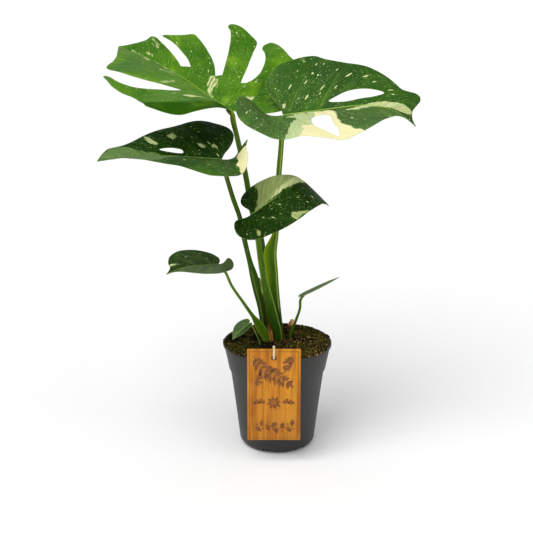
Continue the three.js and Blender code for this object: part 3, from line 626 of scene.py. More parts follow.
class Growth(Nodes):
    """A geometry node tree with named inputs."""

    def __init__(self, name, **inputs):
        self.tree = bpy.data.node_groups.new(name, "GeometryNodeTree")
        face = self.tree.interface
        face.new_socket("Geometry", in_out="INPUT", socket_type="NodeSocketGeometry")
        for label, kind in inputs.items():
            face.new_socket(label, in_out="INPUT", socket_type="NodeSocket" + kind)
        face.new_socket("Geometry", in_out="OUTPUT", socket_type="NodeSocketGeometry")
        self.inputs = self.tree.nodes.new("NodeGroupInput").outputs

    def math(self, operation, *values):
        return self.node("ShaderNodeMath", *values, fixed={"operation": operation}).outputs[0]

    def vector_math(self, operation, *values, **named):
        return self.node("ShaderNodeVectorMath", *values, fixed={"operation": operation}, **named).outputs[0]

    def random(self, low, high, seed, kind="FLOAT"):
        node = self.node("FunctionNodeRandomValue", fixed={"data_type": kind}, Seed=seed)
        ends = [s for s in node.inputs if s.name in ("Min", "Max") and s.enabled]
        for socket, value in zip(ends, (low, high)):
            self.feed(socket, value)
        return node.outputs[{"FLOAT_VECTOR": 0, "FLOAT": 1}[kind]]

    def close(self, geometry):
        """Ends the tree with the grown things as real faces in the given finish."""
        real = self.node("GeometryNodeRealizeInstances", geometry)
        done = self.node("GeometryNodeSetMaterial", Geometry=real.outputs[0], Material=self.inputs["Finish"])
        self.node("NodeGroupOutput", done.outputs[0])
        return self.tree


def grow(base, tree, settings, name, slot, smooth_angle=50):
    """Runs a geometry node tree on the base and keeps its result as a plain mesh piece."""
    modifier = base.modifiers.new("grow", "NODES")
    modifier.node_group = tree
    for item in tree.interface.items_tree:
        if item.item_type == "SOCKET" and item.in_out == "INPUT" and item.name in settings:
            modifier[item.identifier] = settings[item.name]
    piece = link_piece(name, settled_mesh(base, smooth_angle))
    dress(piece, slot)
    return piece


def tone(red, green, blue):
    """A colour as seen on a screen, 0 to 255, turned linear."""
    return tuple(((c / 255 + 0.055) / 1.055) ** 2.4 if c > 10 else c / 255 / 12.92
                 for c in (red, green, blue)) + (1,)


# Leaf blades

class BladePose:
    """Bends a flat blade into its place: (u, v) in the leaf to a point of the plant."""

    def __init__(self, leaf):
        self.leaf = leaf
        heading, pitch, roll = (math.radians(leaf[key]) for key in ("heading", "pitch", "roll"))
        self.forward = np.array([
            math.cos(heading) * math.cos(pitch), math.sin(heading) * math.cos(pitch), math.sin(pitch)])
        level = np.array([-math.sin(heading), math.cos(heading), 0])
        upright = np.cross(self.forward, level)
        self.left = level * math.cos(roll) + upright * math.sin(roll)
        self.normal = upright * math.cos(roll) - level * math.sin(roll)

    def arc(self, u, lift):
        """Place and slope along the drooping midrib, whose back end is lifted by so many degrees."""
        length = self.leaf["length"]
        angle, start, end = self.leaf["droop"]
        stations = np.linspace(-0.6 * length, 1.3 * length, 191)
        slope = -math.radians(angle) * smooth((stations / length - start) / (end - start))
        slope = slope - math.radians(lift) * smooth(-stations / (0.2 * length))
        middle = (slope[1:] + slope[:-1]) / 2
        step = stations[1] - stations[0]
        x, z = (np.concatenate([[0], np.cumsum(step * part(middle))]) for part in (np.cos, np.sin))
        return [np.interp(u, stations, run) for run in (
            x - np.interp(0, stations, x), z - np.interp(0, stations, z), slope)]

    def place(self, u, v):
        leaf = self.leaf
        left = v >= 0
        side = np.where(left, 1, -1)
        across = np.abs(v)
        lifted = [np.where(left, a, b)
                  for a, b in zip(self.arc(u, leaf["lift"][0]), self.arc(u, leaf["lift"][1]))]
        fade = 0.85 * smooth(across / (0.45 * leaf["length"]))
        x, z, slope = (a + (b - a) * fade for a, b in zip(lifted, self.arc(u, 0)))
        fold = np.radians(np.where(left, *leaf["fold"]))
        curl = np.radians(np.where(left, *leaf["curl"])) / 100
        out = (np.sin(fold) - np.sin(fold - curl * across)) / curl
        wave = leaf["ripple"] * (across / 60) ** 2 * np.sin(5 * math.pi * u / leaf["length"] + side)
        up = (np.cos(fold - curl * across) - np.cos(fold)) / curl + wave
        twist = math.radians(leaf["twist"]) * np.clip(u / leaf["length"], -0.5, 1.2)
        sideways = side * out * np.cos(twist) - up * np.sin(twist)
        above = side * out * np.sin(twist) + up * np.cos(twist)
        return (np.array(leaf["joint"])
                + (x - above * np.sin(slope))[:, None] * self.forward
                + sideways[:, None] * self.left
                + (z + above * np.cos(slope))[:, None] * self.normal)

    def normals(self, u, v):
        step = 0.05
        side = np.where(v >= 0, 1, -1)
        along = self.place(u + step, v) - self.place(u - step, v)
        over = (self.place(u, v + side * step) - self.place(u, v)) * side[:, None]
        return unit(np.cross(along, over))


def vein_curves(leaf):
    """Lateral veins of one half, from the lobe behind the petiole to the tip."""
    length = leaf["length"]
    count = leaf["veins"]
    basal = max(3, count // 2)
    curves = [(0, 163 - 82 * k / basal, 26 - 16 * k / basal) for k in range(basal)]
    for share in ((k + 0.35) / count for k in range(count)):
        curves.append((length * 0.93 * share**0.92, 70 - 36 * share, 20 - 8 * share))
    distance = np.linspace(0, 0.75 * length, 22)
    runs = []
    for start, angle, bend in curves:
        turn = np.radians(angle - bend * (1 - np.exp(-distance / (0.3 * length))))[:-1]
        u, v = (np.concatenate([[0], np.cumsum(distance[1] * part(turn))]) for part in (np.cos, np.sin))
        runs.append(np.stack([start + u, v], axis=1))
    return runs


def vein_values(leaf, u, v):
    """For each point the running number of its vein, the spacing of the veins, the length along them, the
    distance from the nearest and its number."""
    points = np.stack([u, np.abs(v)], axis=1)
    reaches = [reach_to(points, run) for run in vein_curves(leaf)]
    gaps, sides, along = (np.stack(part) for part in zip(*reaches))
    nearest = gaps.argmin(axis=0)
    rows = np.arange(len(points))
    step = np.where(sides[nearest, rows] < 0, 1, -1)
    other = np.clip(nearest + step, 0, len(gaps) - 1)
    here = gaps[nearest, rows]
    there = np.where(other == nearest, here + 0.12 * leaf["length"], gaps[other, rows])
    spacing = np.maximum(here + there, 0.5)
    share = here / spacing
    length = along[nearest, rows] * (1 - share) + along[other, rows] * share
    return nearest + step * share, spacing, length, here, nearest


def patch_field(points, polygons):
    """How far each point lies inside the nearest patch, in millimetres, negative outside."""
    field = np.full(len(points), -PATCH_REACH)
    for polygon in polygons:
        outline = catmull(polygon, closed=True, per_span=5)
        gap = reach_to(points, outline)[0]
        field = np.maximum(field, np.where(inside(points, outline[:-1]), gap, -gap))
    return np.clip(field, -PATCH_REACH, PATCH_REACH)


def fleck_line(u, v, length, width):
    """The middle line of a placed fleck, leaning as the veins do."""
    lean = math.radians(np.interp(u, (0, 90), (60, 24)) if u > 0 else 120) * (1 if v >= 0 else -1)
    return np.array([u, v]) + np.array([[-0.5], [0.5]]) * (length - width) * np.array(
        [math.cos(lean), math.sin(lean)])


def fleck_field(points, flecks):
    """How far each point lies inside the nearest placed fleck, narrowing towards its ends."""
    field = np.full(len(points), -PATCH_REACH)
    for u, v, length, width in flecks:
        gap, _, place = reach_to(points, fleck_line(u, v, length, width))
        taper = 0.7 - 0.36 * np.abs(2 * place / (length - width) - 1) ** 2
        field = np.maximum(field, taper * width / 2 - gap)
    return np.clip(field, -3, 3)


def flat_blade(leaf, flecks):
    """Triangles over the flat blade, fine beside the midrib, with the midrib and every margin kept."""
    lobes, holes = [], []
    for side, half in ((1, "left"), (-1, "right")):
        margin = np.concatenate([even_run(lobe, BLADE_GRID) for lobe in leaf[half]])
        lobes.append(np.maximum(margin, (-math.inf, 0)) * (1, side))
        holes += [even_run(hole, BLADE_GRID, closed=True) * (1, side)
                  for hole in leaf.get(half + "_holes", [])]
    margins = [np.concatenate([run, run[:1]]) for run in lobes + holes]

    def on_blade(points):
        return inside(points, lobes[0]) | inside(points, lobes[1])

    def clear(points):
        """Which points lie on the blade, well clear of its margins and its midrib."""
        free = on_blade(points) & (np.abs(points[:, 1]) > MIDRIB_CLEAR)
        for run in margins:
            free &= reach_to(points, run)[0] > MARGIN_CLEAR
        return free

    length = leaf["length"]
    stations = np.linspace(0, length, round(length / BLADE_GRID) + 1)
    low = np.min([run.min(axis=0) for run in lobes], axis=0)
    high = np.max([run.max(axis=0) for run in lobes], axis=0)
    columns = np.arange(low[0], high[0], BLADE_GRID)
    grid = np.concatenate([np.stack([columns + (i % 2) * BLADE_GRID / 2, np.full(len(columns), row)], axis=1)
                           for i, row in enumerate(np.arange(low[1], high[1], BLADE_GRID * 0.866))])
    if length > SMALL_BLADE:
        beside = (grid[:, 0] > -1) & (np.abs(grid[:, 1]) < 3.2)
        grid = np.concatenate([grid[~beside]] + [
            np.stack([stations[1:-1], np.full(len(stations) - 2, v)], axis=1)
            for v in (-2.6, -1.6, -0.75, 0.75, 1.6, 2.6)])
    grid = grid[clear(grid)]
    # Extra points in and round the placed flecks, so that they keep their shape
    for fleck in flecks:
        ends = fleck_line(*fleck)
        size = np.linalg.norm(ends[1] - ends[0])
        axis = (ends[1] - ends[0]) / size
        across = np.array([-axis[1], axis[0]])
        steps = np.arange(-1.2, size + 1.3, 0.6)
        extra = np.concatenate([ends[0] + steps[:, None] * axis + across * offset * fleck[3]
                                for offset in (-1.1, -0.5, 0, 0.5, 1.1)])
        grid = grid[reach_to(grid, ends)[0] > fleck[3] * 1.1 + 0.5]
        grid = np.concatenate([grid, extra[clear(extra)]])
    runs = lobes + holes + [np.stack([stations, 0 * stations], axis=1)]
    edges, start = [], 0
    for k, run in enumerate(runs):
        edges += chain(start, len(run), closed=len(lobes) <= k < len(runs) - 1)
        start += len(run)

    def in_leaf(centres):
        keep = on_blade(centres)
        for hole in holes:
            keep &= ~inside(centres, hole)
        return keep

    flat, faces = triangulate(runs + [grid], edges, 1e-4, in_leaf)
    used, faces = np.unique(faces, return_inverse=True)
    return flat[used], faces.reshape(-1, 3), margins


def make_blade(name, leaf, material):
    flecks = FLECKS.get(name, [])
    flat, faces, margins = flat_blade(leaf, flecks)
    flat[np.abs(flat[:, 1]) < 1e-3, 1] = 0
    u, v = flat[:, 0], flat[:, 1]
    pose = BladePose(leaf)
    on_midrib = (v == 0) & (u > -0.01)
    mirrored = pose.normals(u, np.where(on_midrib, -1e-6, v))
    normals = unit(pose.normals(u, v) + np.where(on_midrib[:, None], mirrored, 0))
    middle = pose.place(u, v)

    length = leaf["length"]
    number, spacing, along, beside, nearest = vein_values(leaf, u, v)
    rim = np.minimum.reduce([reach_to(flat, run)[0] for run in margins])
    rim = np.where(on_midrib, np.maximum(rim, 3), rim)
    rib = reach_to(flat, np.array([[0.0, 0.0], [length, 0.0]]))[0]
    scale = min(1, length / 100)
    near_rib = np.exp(-((rib / (1.5 * scale)) ** 2)) * (0.3 + 0.7 * np.clip(1 - u / length, 0, 1))
    pucker = np.sin(math.pi * (number % 1)) ** 2 * np.minimum(spacing, 16) * 0.04
    pucker = pucker * smooth(rim / 8) * smooth(rib / 6)
    crease = np.exp(-((beside / 0.9) ** 2)) * smooth(rim / 5) * np.clip(1.2 - along / length, 0, 1)
    # Two halves of a groove above, a rounded rib beneath, and a thinner margin
    thin = np.where(rim < MARGIN_WIDTH, 0.35 + 0.65 * smooth(rim / MARGIN_WIDTH), 1)
    top = (BLADE_THICKNESS / 2 + pucker - 0.55 * scale * near_rib - 0.12 * crease) * thin
    bottom = (-BLADE_THICKNESS / 2 + pucker - 1.3 * scale * near_rib - 0.3 * scale * crease) * thin
    points = np.concatenate([middle + normals * top[:, None], middle + normals * bottom[:, None]])

    count = len(flat)
    open_edges = {}
    for i, j, k in faces:
        for a, b in ((i, j), (j, k), (k, i)):
            if open_edges.pop((b, a), None) is None:
                open_edges[(a, b)] = True
    walls = [(b, a, a + count, b + count) for a, b in open_edges]
    triangles = [tuple(f) for f in faces] + [(i + count, k + count, j + count) for i, j, k in faces]
    values = {
        "flat_u": u, "flat_v": v, "vein": number, "spacing": spacing, "along": along, "rib": rib,
        "rim": np.minimum(rim, 20), "main": np.where(nearest % 2 == 1, 1.0, 0.3),
        "fleck": fleck_field(flat, flecks),
    }
    # The 'deep' patches carry the painted shade of the strips that bend out of the light
    for label, patches in (("cream", CREAM), ("pale", PALE), ("streak", STREAKS), ("deep", PAINTED_SHADE_STRIPS)):
        values[label] = patch_field(flat, patches.get(name, []))
    values = {label: np.concatenate([numbers, numbers]) for label, numbers in values.items()}
    values["under"] = np.repeat([0.0, 1.0], count)
    piece = add_piece(f"leaf_{name}", points, triangles + walls, material, values, smooth_angle=60)
    dress(piece, "leaf", f"blade_{name}")


CREAM_TONE = tone(220, 215, 164)
CREAM_SHADE = tone(208, 205, 142)
STREAK_TONE = tone(204, 209, 152)
STREAK_SHADE = tone(168, 182, 120)
FLECK_TONE = tone(200, 212, 146)
VEIN_TONE = tone(118, 156, 48)
MIDRIB_TONE = tone(146, 176, 76)
# Painted shade for the half of a blade that turns away from the light
SHADED_TONE = tone(4, 34, 0)
# Painted sheen that makes one half of a blade paler and greyer
PAINTED_SHEEN_TONE = tone(130, 158, 100)
# Painted shade on strips that bend out of the light
PAINTED_CURL_SHADE = tone(30, 72, 0)
# Painted highlights within that painted shade
PAINTED_CURL_HIGHLIGHT = tone(70, 108, 0)
MARGIN_TONE = tone(140, 164, 80)
VEIN_BACK = tone(150, 172, 92)
# Flecks in four sizes: cells across and along the veins, share of cells with a fleck, radius and strength
FLECK_SIZES = (
    (0.17, 0.08, 0.1, 0.11, 0.66),
    (0.36, 0.22, 0.3, 0.13, 0.75),
    (0.66, 0.5, 0.95, 0.18, 0.7),
    (1.1, 0.9, 0.9, 0.24, 0.45),
)


def leaf_flecks(f, wander, crowd, amount):
    """Scattered pale flecks drawn out along the veins, thick in some places and rare in others."""
    marks = None
    for across, lengthwise, share, radius, strength in FLECK_SIZES:
        gaps, tints = f.cells(f.stretch((across, lengthwise, 1), wander))
        pick = f.split(tints)
        chosen = f.rise(pick[0] + crowd * (share * amount), 1, 1.02)
        size = f.span(pick[1], 0, 1, 0.45 * radius, 1.35 * radius)
        spot = f.rise(size - gaps, -0.02, 0.03) * chosen * strength
        marks = f.math("MAXIMUM", marks, spot) if marks else spot
    return marks


def leaf_material(name, greens, back, flecks, pales=((164, 180, 126), (180, 194, 142)), shade=(0, 0),
                  bloom_and_painted_sheen=(0, 0), veining=1.0, midrib=0.85, torn=1.2, solid=0.66, rib_end=300, sheen=0.1):
    """Waxy leaf: greens that vary between the veins, pale veins, cream patches and flecks along the veins."""
    f = Finish(f"leaf_{name}_skin", 0.45)
    deep, middle, bright = (tone(*green) for green in greens)
    vein, spacing, along, rib, rim, under = (
        f.value(label) for label in ("vein", "spacing", "along", "rib", "rim", "under"))
    side = f.math("SIGN", f.value("flat_v"))
    # Coordinates that run along and across the veins, so that every mark follows them
    flow = f.vector(vein * 12, along, side * 70)
    wander = f.warp(flow, 0.5, 2.4)
    beside = f.math("PINGPONG", vein, 0.5) * spacing
    patchy = f.noise(0.05, 2, f.stretch((1.6, 0.5, 1), flow))
    fine = f.noise(0.4, 4, f.stretch((2.4, 0.35, 1), flow), 0.6)
    green = f.coats(
        f.mix(f.rise(f.noise(22), 0.32, 0.68), deep, middle),
        (f.rise(patchy, 0.48, 0.72) * 0.75, bright),
        (f.rise(fine, 0.45, 0.8) * 0.4, bright),
        # painted shade: one half of the blade darker, where it turns away from the light
        (f.span(side, -1, 1, shade[1], shade[0]), SHADED_TONE),
        # painted sheen: one half of the blade paler and greyer, as a sheen would make it
        (f.span(side, -1, 1, bloom_and_painted_sheen[1], bloom_and_painted_sheen[0]), PAINTED_SHEEN_TONE))
    # Painted shade on the strips that bend out of the light, which also have less sheen
    painted_shade_mask = f.rise(f.value("deep"), -2, 4) * 0.9
    # Areas with ragged edges drawn out along the veins
    ragged = f.noise(0.26, 4, f.stretch((2.2, 0.3, 1), flow), 0.65)
    tear = (ragged - 0.5) * 8
    hatch = f.noise(0.4, 3, f.stretch((1.7, 0.12, 1), f.warp(flow, 0.08, 3)))
    mottle = f.noise(0.5, 3, f.stretch((1.6, 0.3, 1), flow))
    pale = f.rise(f.value("pale") + tear, -0.5, 0.7)
    cream = f.rise(f.value("cream") + tear, -0.3, 0.5) * (1 - pale)
    streak = f.rise(f.value("streak") + tear * torn, -0.3, 0.3) * f.span(hatch, 0.36, 0.56, solid, 1)
    crowd = f.span(f.noise(0.05, 2, flow), 0.38, 0.62, 0.4, 1.3)
    marks = f.rise(f.value("fleck") + tear * 0.14, -0.22, 0.12)
    marks = f.math("MAXIMUM", marks, leaf_flecks(f, wander, crowd, flecks))
    # Lateral veins, the minor ones between them and the midrib
    edge_fade = f.rise(rim, 0.5, 7)
    lateral = (1 - f.rise(beside, 0.2, 0.8)) * edge_fade * f.span(along, 0, 60, 0.55, 0.03) * f.value("main")
    minor = 1 - f.rise(f.math("PINGPONG", vein * 4, 0.5), 0, 0.12)
    lateral = f.math("MAXIMUM", lateral, minor * edge_fade * 0.08)
    lateral = lateral * f.span(f.math("MAXIMUM", cream, streak), 0, 1, 1, 0.4)
    width = f.span(f.value("flat_u"), 0, 150, 1.1, 0.45)
    middle_rib = 1 - f.rise(rib / width, 0.6, 1.05)
    middle_rib = middle_rib * f.span(f.value("flat_u"), rib_end, rib_end + 16, 1, 0)
    veins = f.math("MAXIMUM", lateral, middle_rib)
    # Painted highlights in patches within the painted shade of the curled strips
    painted_highlight_mask = f.rise(f.noise(30, 2), 0.42, 0.62) * f.rise(rim, 2, 9)
    colour = f.coats(
        green,
        (pale, f.mix(f.rise(hatch, 0.34, 0.66), tone(*pales[0]), tone(*pales[1]))),
        (marks, FLECK_TONE),
        (streak, f.mix(f.rise(hatch, 0.36, 0.66), STREAK_SHADE, STREAK_TONE)),
        (cream, f.mix(f.rise(mottle, 0.5, 0.78), CREAM_TONE, CREAM_SHADE)),
        (lateral * veining, VEIN_TONE),
        (middle_rib * midrib, MIDRIB_TONE),
        # painted shade on the strips that bend out of the light, with painted highlights in it
        (painted_shade_mask, f.mix(painted_highlight_mask, PAINTED_CURL_SHADE, PAINTED_CURL_HIGHLIGHT)),
        ((1 - f.rise(rim, 0.1, 0.8)) * 0.3, MARGIN_TONE),
        # The underside is paler and duller
        (under * 0.55, f.mix(veins, tone(*back), VEIN_BACK)))
    rough = f.span(fine, 0.3, 0.8, 0.46, 0.58) + under * 0.16
    height = f.rise(beside, 0, 1.8) * 0.6 + fine * 0.5 + f.noise(900, 2) * 0.12
    return f.finish(colour, rough, f.bump(height, 0.0003, 0.6),
                    Specular_IOR_Level=f.span(painted_shade_mask, 0, 0.9, sheen, 0.02))


# For each leaf: deep, middle and bright green, the underside, how many flecks, the two tones of its pale
# areas, how much painted shade deepens and how much painted sheen greys its left and right halves, how
# strong its veins and its midrib are, how ragged its streaks are and how solid their thin parts, where its
# midrib line ends, and its sheen
SKINS = {
    "a": dict(greens=((44, 94, 2), (68, 116, 6), (102, 146, 16)), back=(82, 126, 30), flecks=0.5,
              bloom_and_painted_sheen=(0.05, 0), torn=0.9, solid=0),
    "b": dict(greens=((32, 70, 8), (44, 86, 14), (66, 108, 22)), back=(74, 114, 44), flecks=0.5,
              shade=(0.12, 0), bloom_and_painted_sheen=(0, 0.14), veining=0.8, torn=0.25, solid=0.9),
    "c": dict(greens=((24, 58, 2), (38, 76, 8), (60, 100, 16)), back=(70, 106, 40), flecks=0.36,
              pales=((72, 102, 48), (98, 126, 70)), shade=(0, 0.6), veining=0.4),
    "d": dict(greens=((18, 42, 4), (26, 54, 10), (42, 72, 18)), back=(70, 104, 40), flecks=0.32,
              pales=((122, 140, 82), (160, 170, 108)), veining=0.2, midrib=0.55, rib_end=24, sheen=0.03),
    "e": dict(greens=((24, 44, 6), (34, 58, 12), (54, 80, 24)), back=(66, 92, 44), flecks=0.2,
              bloom_and_painted_sheen=(0.18, 0.02), veining=0.3, midrib=0.22, torn=0.2, solid=0.4),
    "f": dict(greens=((36, 58, 26), (46, 70, 36), (66, 90, 48)), back=(84, 112, 56), flecks=0.03,
              bloom_and_painted_sheen=(0, 0.1), veining=1.6, midrib=0.25),
    "g": dict(greens=((74, 96, 46), (88, 110, 58), (104, 126, 70)), back=(110, 128, 76), flecks=0.03,
              veining=0.6, midrib=0.35),
}
for key, leaf in LEAVES.items():
    make_blade(key, leaf, leaf_material(key, **SKINS[key]))


# Petioles

def stalk_material():
    """Smooth green stalk with lengthwise stripes, lighter sheath edges and a yellower joint at the blade."""
    f = Finish("petiole_skin", 0.45)
    along, turn, edge, joint, tint, wing = (
        f.value(label) for label in ("along", "turn", "edge", "joint", "tint", "wing"))
    flow = f.vector(turn * 6, along * 0.06, tint)
    ribs = f.noise(3.2, 3, flow)
    speckle = f.rise(f.noise(260, 2, f.stretch((1, 1, 0.35))), 0.66, 0.74)
    # Painted shade: the stalks darker towards the soil, beneath the leaves, and more so on the darker stalks
    low = (1 - f.rise(f.split(f.place)[2], 0.12, 0.23)) * f.span(tint, 0, 0.3, 0.4, 0.8)
    green = f.coats(
        f.mix(f.rise(ribs, 0.35, 0.65), tone(54, 94, 0), tone(102, 142, 10)),
        (f.rise(f.noise(0.9, 2, flow), 0.42, 0.6) * 0.6, tone(48, 88, 2)),
        (tint * 0.75, tone(24, 58, 0)),
        (wing * 0.8, tone(150, 182, 14)),
        (speckle * 0.22, tone(160, 180, 84)),
        (joint * 0.6, tone(132, 156, 50)),
        # painted shade low down on the stalks
        (low, tone(16, 46, 0)),
        (edge, tone(170, 190, 84)))
    height = ribs + f.noise(500, 2) * 0.2
    return f.finish(green, f.span(ribs, 0.3, 0.7, 0.4, 0.54), f.bump(height, 0.0004, 0.6),
                    Specular_IOR_Level=0.1)


STALK = stalk_material()
# For each petiole: the turn its channel faces, how deep it is, where the sheath ends, how far the sheath
# bows, how dark it is, and its light edge lines: side, distance from that side in mm, part of the length,
# strength
STALK_FORMS = {
    "a": (90, 0.5, 0.78, 0.2, 0.6, ()),
    "b": (250, 0.5, 0.6, 1.6, 0.3, ((1, 2.1, 0.02, 0.86, 0.95),)),
    "c": (60, 0.4, 0.6, 0.9, 0.8, ((-1, 3.6, 0.58, 1.0, 0.3),)),
    "d": (262, 0.9, 0.42, 0.6, 0.5, ((1, 0.5, 0.4, 1.0, 0.42), (-1, 0.8, 0.05, 0.5, 0.4))),
    "e": (70, 0.25, 0.68, 0.9, 0, ((-1, 0.7, 0.66, 1.0, 0.45), (-1, 0.4, 0.02, 0.6, 0.5))),
    "f": (90, 0.2, 0.9, 0, 0, ((-1, 0.6, 0, 1.0, 0.8),)),
    "g": (90, 0.2, 0.8, 0, 0.1, ()),
}
# Where the second petiole's sheath stands out as a bright wing on its left
WINGS = {"b": (0.42, 0.84)}
STALK_SIDES = 40


def sweep(stations, sides, step):
    """Centres and sizes down a smooth path through the stations, and the two directions across it."""
    run = even_run(stations, step)
    tangents = unit(np.gradient(run[:, :3], axis=0))
    wide = unit(np.array([1.0, 0, 0]) - tangents[:, :1] * tangents)
    return run, run[:, :3], wide, np.cross(tangents, wide), full_turn(sides)


def make_petiole(name):
    pose = BladePose(LEAVES[name])
    stations = PETIOLES[name]
    first = np.array(stations[0][:3])
    width = stations[0][3]
    joint = np.array(LEAVES[name]["joint"])
    # The top bends into the midrib under the blade
    under = joint + 1.5 * width * pose.forward - 0.42 * width * pose.normal
    knee = joint + 0.5 * width * pose.forward - 0.5 * width * pose.normal
    below = first + 0.25 * (np.array(stations[1][:3]) - first)
    stations = [(*under, 0.4 * width, 0.3 * width), (*knee, 0.86 * width, 0.8 * width),
                (*below, width, width * 0.98)] + stations[1:]
    facing, depth, sheath, bow, dark, lines = STALK_FORMS[name]
    wing_start, wing_end = WINGS.get(name, (2, 3))
    run, centres, wide, deep, turns = sweep(stations, STALK_SIDES, 1.6)
    length = lengths_along(centres)
    share = length / length[-1]
    in_sheath = smooth((share - sheath + 0.06) / 0.12)
    knuckle = np.exp(-((length - 3.2 * width) / (1.7 * width)) ** 2)
    draw = np.random.default_rng(1 + ord(name))
    wobble = np.interp(length, np.linspace(0, length[-1], 14), draw.normal(0, 0.05, 14))
    cos, sin = np.cos(turns), np.sin(turns)
    away = np.abs((turns - math.radians(facing) + math.pi) % (2 * math.pi) - math.pi)
    points, values = [], {label: [] for label in ("along", "turn", "edge", "joint", "tint", "wing")}
    for i in range(len(run)):
        half_wide = run[i, 3] / 2 * (1 + 0.12 * knuckle[i] + wobble[i] * 0.4)
        half_deep = run[i, 4] / 2 * (1 + 0.12 * knuckle[i])
        groove = np.exp(-((away / 0.42) ** 2)) * depth * (0.35 + 0.65 * in_sheath[i]) * smooth(length[i] / 12)
        ridge = np.exp(-(((away - 0.75) / 0.2) ** 2)) * (0.12 + 0.3 * in_sheath[i]) * min(1, depth * 1.4)
        slim = 1 - 0.45 * in_sheath[i] * np.abs(cos) ** 4 * (bow > 0.5)
        ribs = 0.05 * np.sin(9 * turns + 0.02 * length[i]) * min(1, half_wide / 2.5)
        out = ridge - groove + ribs
        x = cos * (half_wide + out)
        y = sin * (half_deep * slim + out) + bow * in_sheath[i] * (cos**2 - 0.5)
        points.append(centres[i] + x[:, None] * wide[i] + y[:, None] * deep[i])
        flange = np.abs(cos) ** 14 * in_sheath[i] * (bow > 0.5)
        light = np.maximum(0.2 * flange, np.clip(ridge * 0.8, 0, 0.3))
        for line_side, inset, start, end, strength in lines:
            reach = np.abs(cos * half_wide - line_side * (half_wide - inset)) / 0.5
            part = smooth((share[i] - start) / 0.05) * smooth((end - share[i]) / 0.05)
            light = np.maximum(light, strength * part * np.exp(-(reach**2)) * (sin > 0))
        spread = smooth((share[i] - wing_start) / 0.06) * smooth((wing_end - share[i]) / 0.12)
        outer = 0.35 * smooth(-cos * 1.6) + 0.65 * smooth((-cos - 0.5) / 0.5)
        for label, ring in (("along", length[i]), ("turn", cos * 1.3 + sin), ("edge", light), ("tint", dark),
                            ("joint", math.exp(-length[i] / (5 * width))), ("wing", spread * outer)):
            values[label].append(np.broadcast_to(ring, STALK_SIDES))
    piece = add_piece(f"stalk_{name}", np.concatenate(points), tube_faces(len(run), STALK_SIDES), STALK,
                      {label: np.concatenate(v) for label, v in values.items()}, smooth_angle=70)
    dress(piece, "petiole", f"petiole_{name}")


for key in PETIOLES:
    make_petiole(key)


# Pot

def pot_material():
    """Matt dark plastic with a faint satin bloom, fine scuffs and dust towards the foot."""
    f = Finish("pot_plastic")
    bloom_and_painted_sheen = f.noise(18)
    scuff = f.rise(f.noise(60, 4, f.stretch((1, 1, 0.25)), 0.7), 0.62, 0.72)
    dust = f.rise(f.noise(240), 0.6, 0.8) * (1 - f.rise(f.split(f.place)[2], 0, 0.03))
    colour = f.coats(f.mix(bloom_and_painted_sheen, tone(36, 36, 35), tone(46, 46, 44)),
                     (scuff * 0.16, tone(84, 84, 81)), (dust * 0.35, tone(104, 94, 82)))
    rough = f.span(bloom_and_painted_sheen, 0.3, 0.7, 0.46, 0.56) + scuff * 0.12
    height = f.noise(1400, 2) + bloom_and_painted_sheen * 0.4
    return f.finish(colour, rough, f.bump(height, 0.00012, 0.5), Specular_IOR_Level=0.35)


def make_pot():
    foot = BAND_FOOT_HEIGHT
    profile = [
        (0, 0.9), (14, 0.9), (15, 0), (28, 0), (28.8, 0.8), (32.4, 0.8), (33, 0), (FOOT_RADIUS + 0.6, 0),
        (FOOT_RADIUS + 3.2, 0.7), (FOOT_RADIUS + 4.8, 1.7), (BODY_FOOT_RADIUS - 0.5, CHAMFER_HEIGHT - 1.4),
        (BODY_FOOT_RADIUS + 0.05, CHAMFER_HEIGHT), (44.2, 28), (46.9, 50), (49.5, 70),
        (BODY_TOP_RADIUS - 0.1, foot - 1.8), (BODY_TOP_RADIUS + 0.3, foot - 1),
        (BAND_FOOT_RADIUS - 0.2, foot - 0.4), (BAND_FOOT_RADIUS, foot + 0.2), (55.3, 98), (57.2, 107),
        (58.5, 114), (58.9, 114.4), (RIM_RADIUS - 0.2, 114.8), (RIM_RADIUS, 115.4),
        (RIM_RADIUS, POT_HEIGHT - 0.7), (RIM_RADIUS - 0.3, POT_HEIGHT - 0.15), (RIM_RADIUS - 0.8, POT_HEIGHT),
        (RIM_RADIUS - 1.5, POT_HEIGHT - 0.1), (RIM_RADIUS - 2.2, POT_HEIGHT - 0.8), (57.2, 113.5),
        (BAND_FOOT_RADIUS - WALL, foot + 0.4), (BODY_TOP_RADIUS - WALL, foot - 1),
        (BODY_FOOT_RADIUS - WALL, CHAMFER_HEIGHT + 0.5), (FOOT_RADIUS + 2.6, 2.8), (FOOT_RADIUS, 1.8),
        (0, 1.8),
    ]
    material = pot_material()
    shell = add_piece("nursery_pot", *lathe(profile, POT_SIDES), material, smooth_angle=32)
    # Drain notches through the foot's edge
    corners, faces = [], []
    box = [(0, 1, 3, 2), (4, 6, 7, 5), (0, 4, 5, 1), (2, 3, 7, 6), (0, 2, 6, 4), (1, 5, 7, 3)]
    for i in range(NOTCHES):
        turn = (2 * i + 0.4) * math.pi / NOTCHES
        corners += [(x * math.cos(turn) - y * math.sin(turn), x * math.sin(turn) + y * math.cos(turn), z)
                    for x in (35, 50.5) for y in (-4.5, 4.5) for z in (-4.5, 4.5)]
        faces += [tuple(8 * i + v for v in face) for face in box]
    cutter = add_piece("notch_cutter", corners, faces, material)
    notch = shell.modifiers.new("notches", "BOOLEAN")
    notch.operation = "DIFFERENCE"
    notch.solver = "EXACT"
    notch.object = cutter
    shell.data = settled_mesh(shell, 32)
    bpy.data.objects.remove(cutter)
    dress(shell, "pot_plastic", "pot")


make_pot()


# Soil

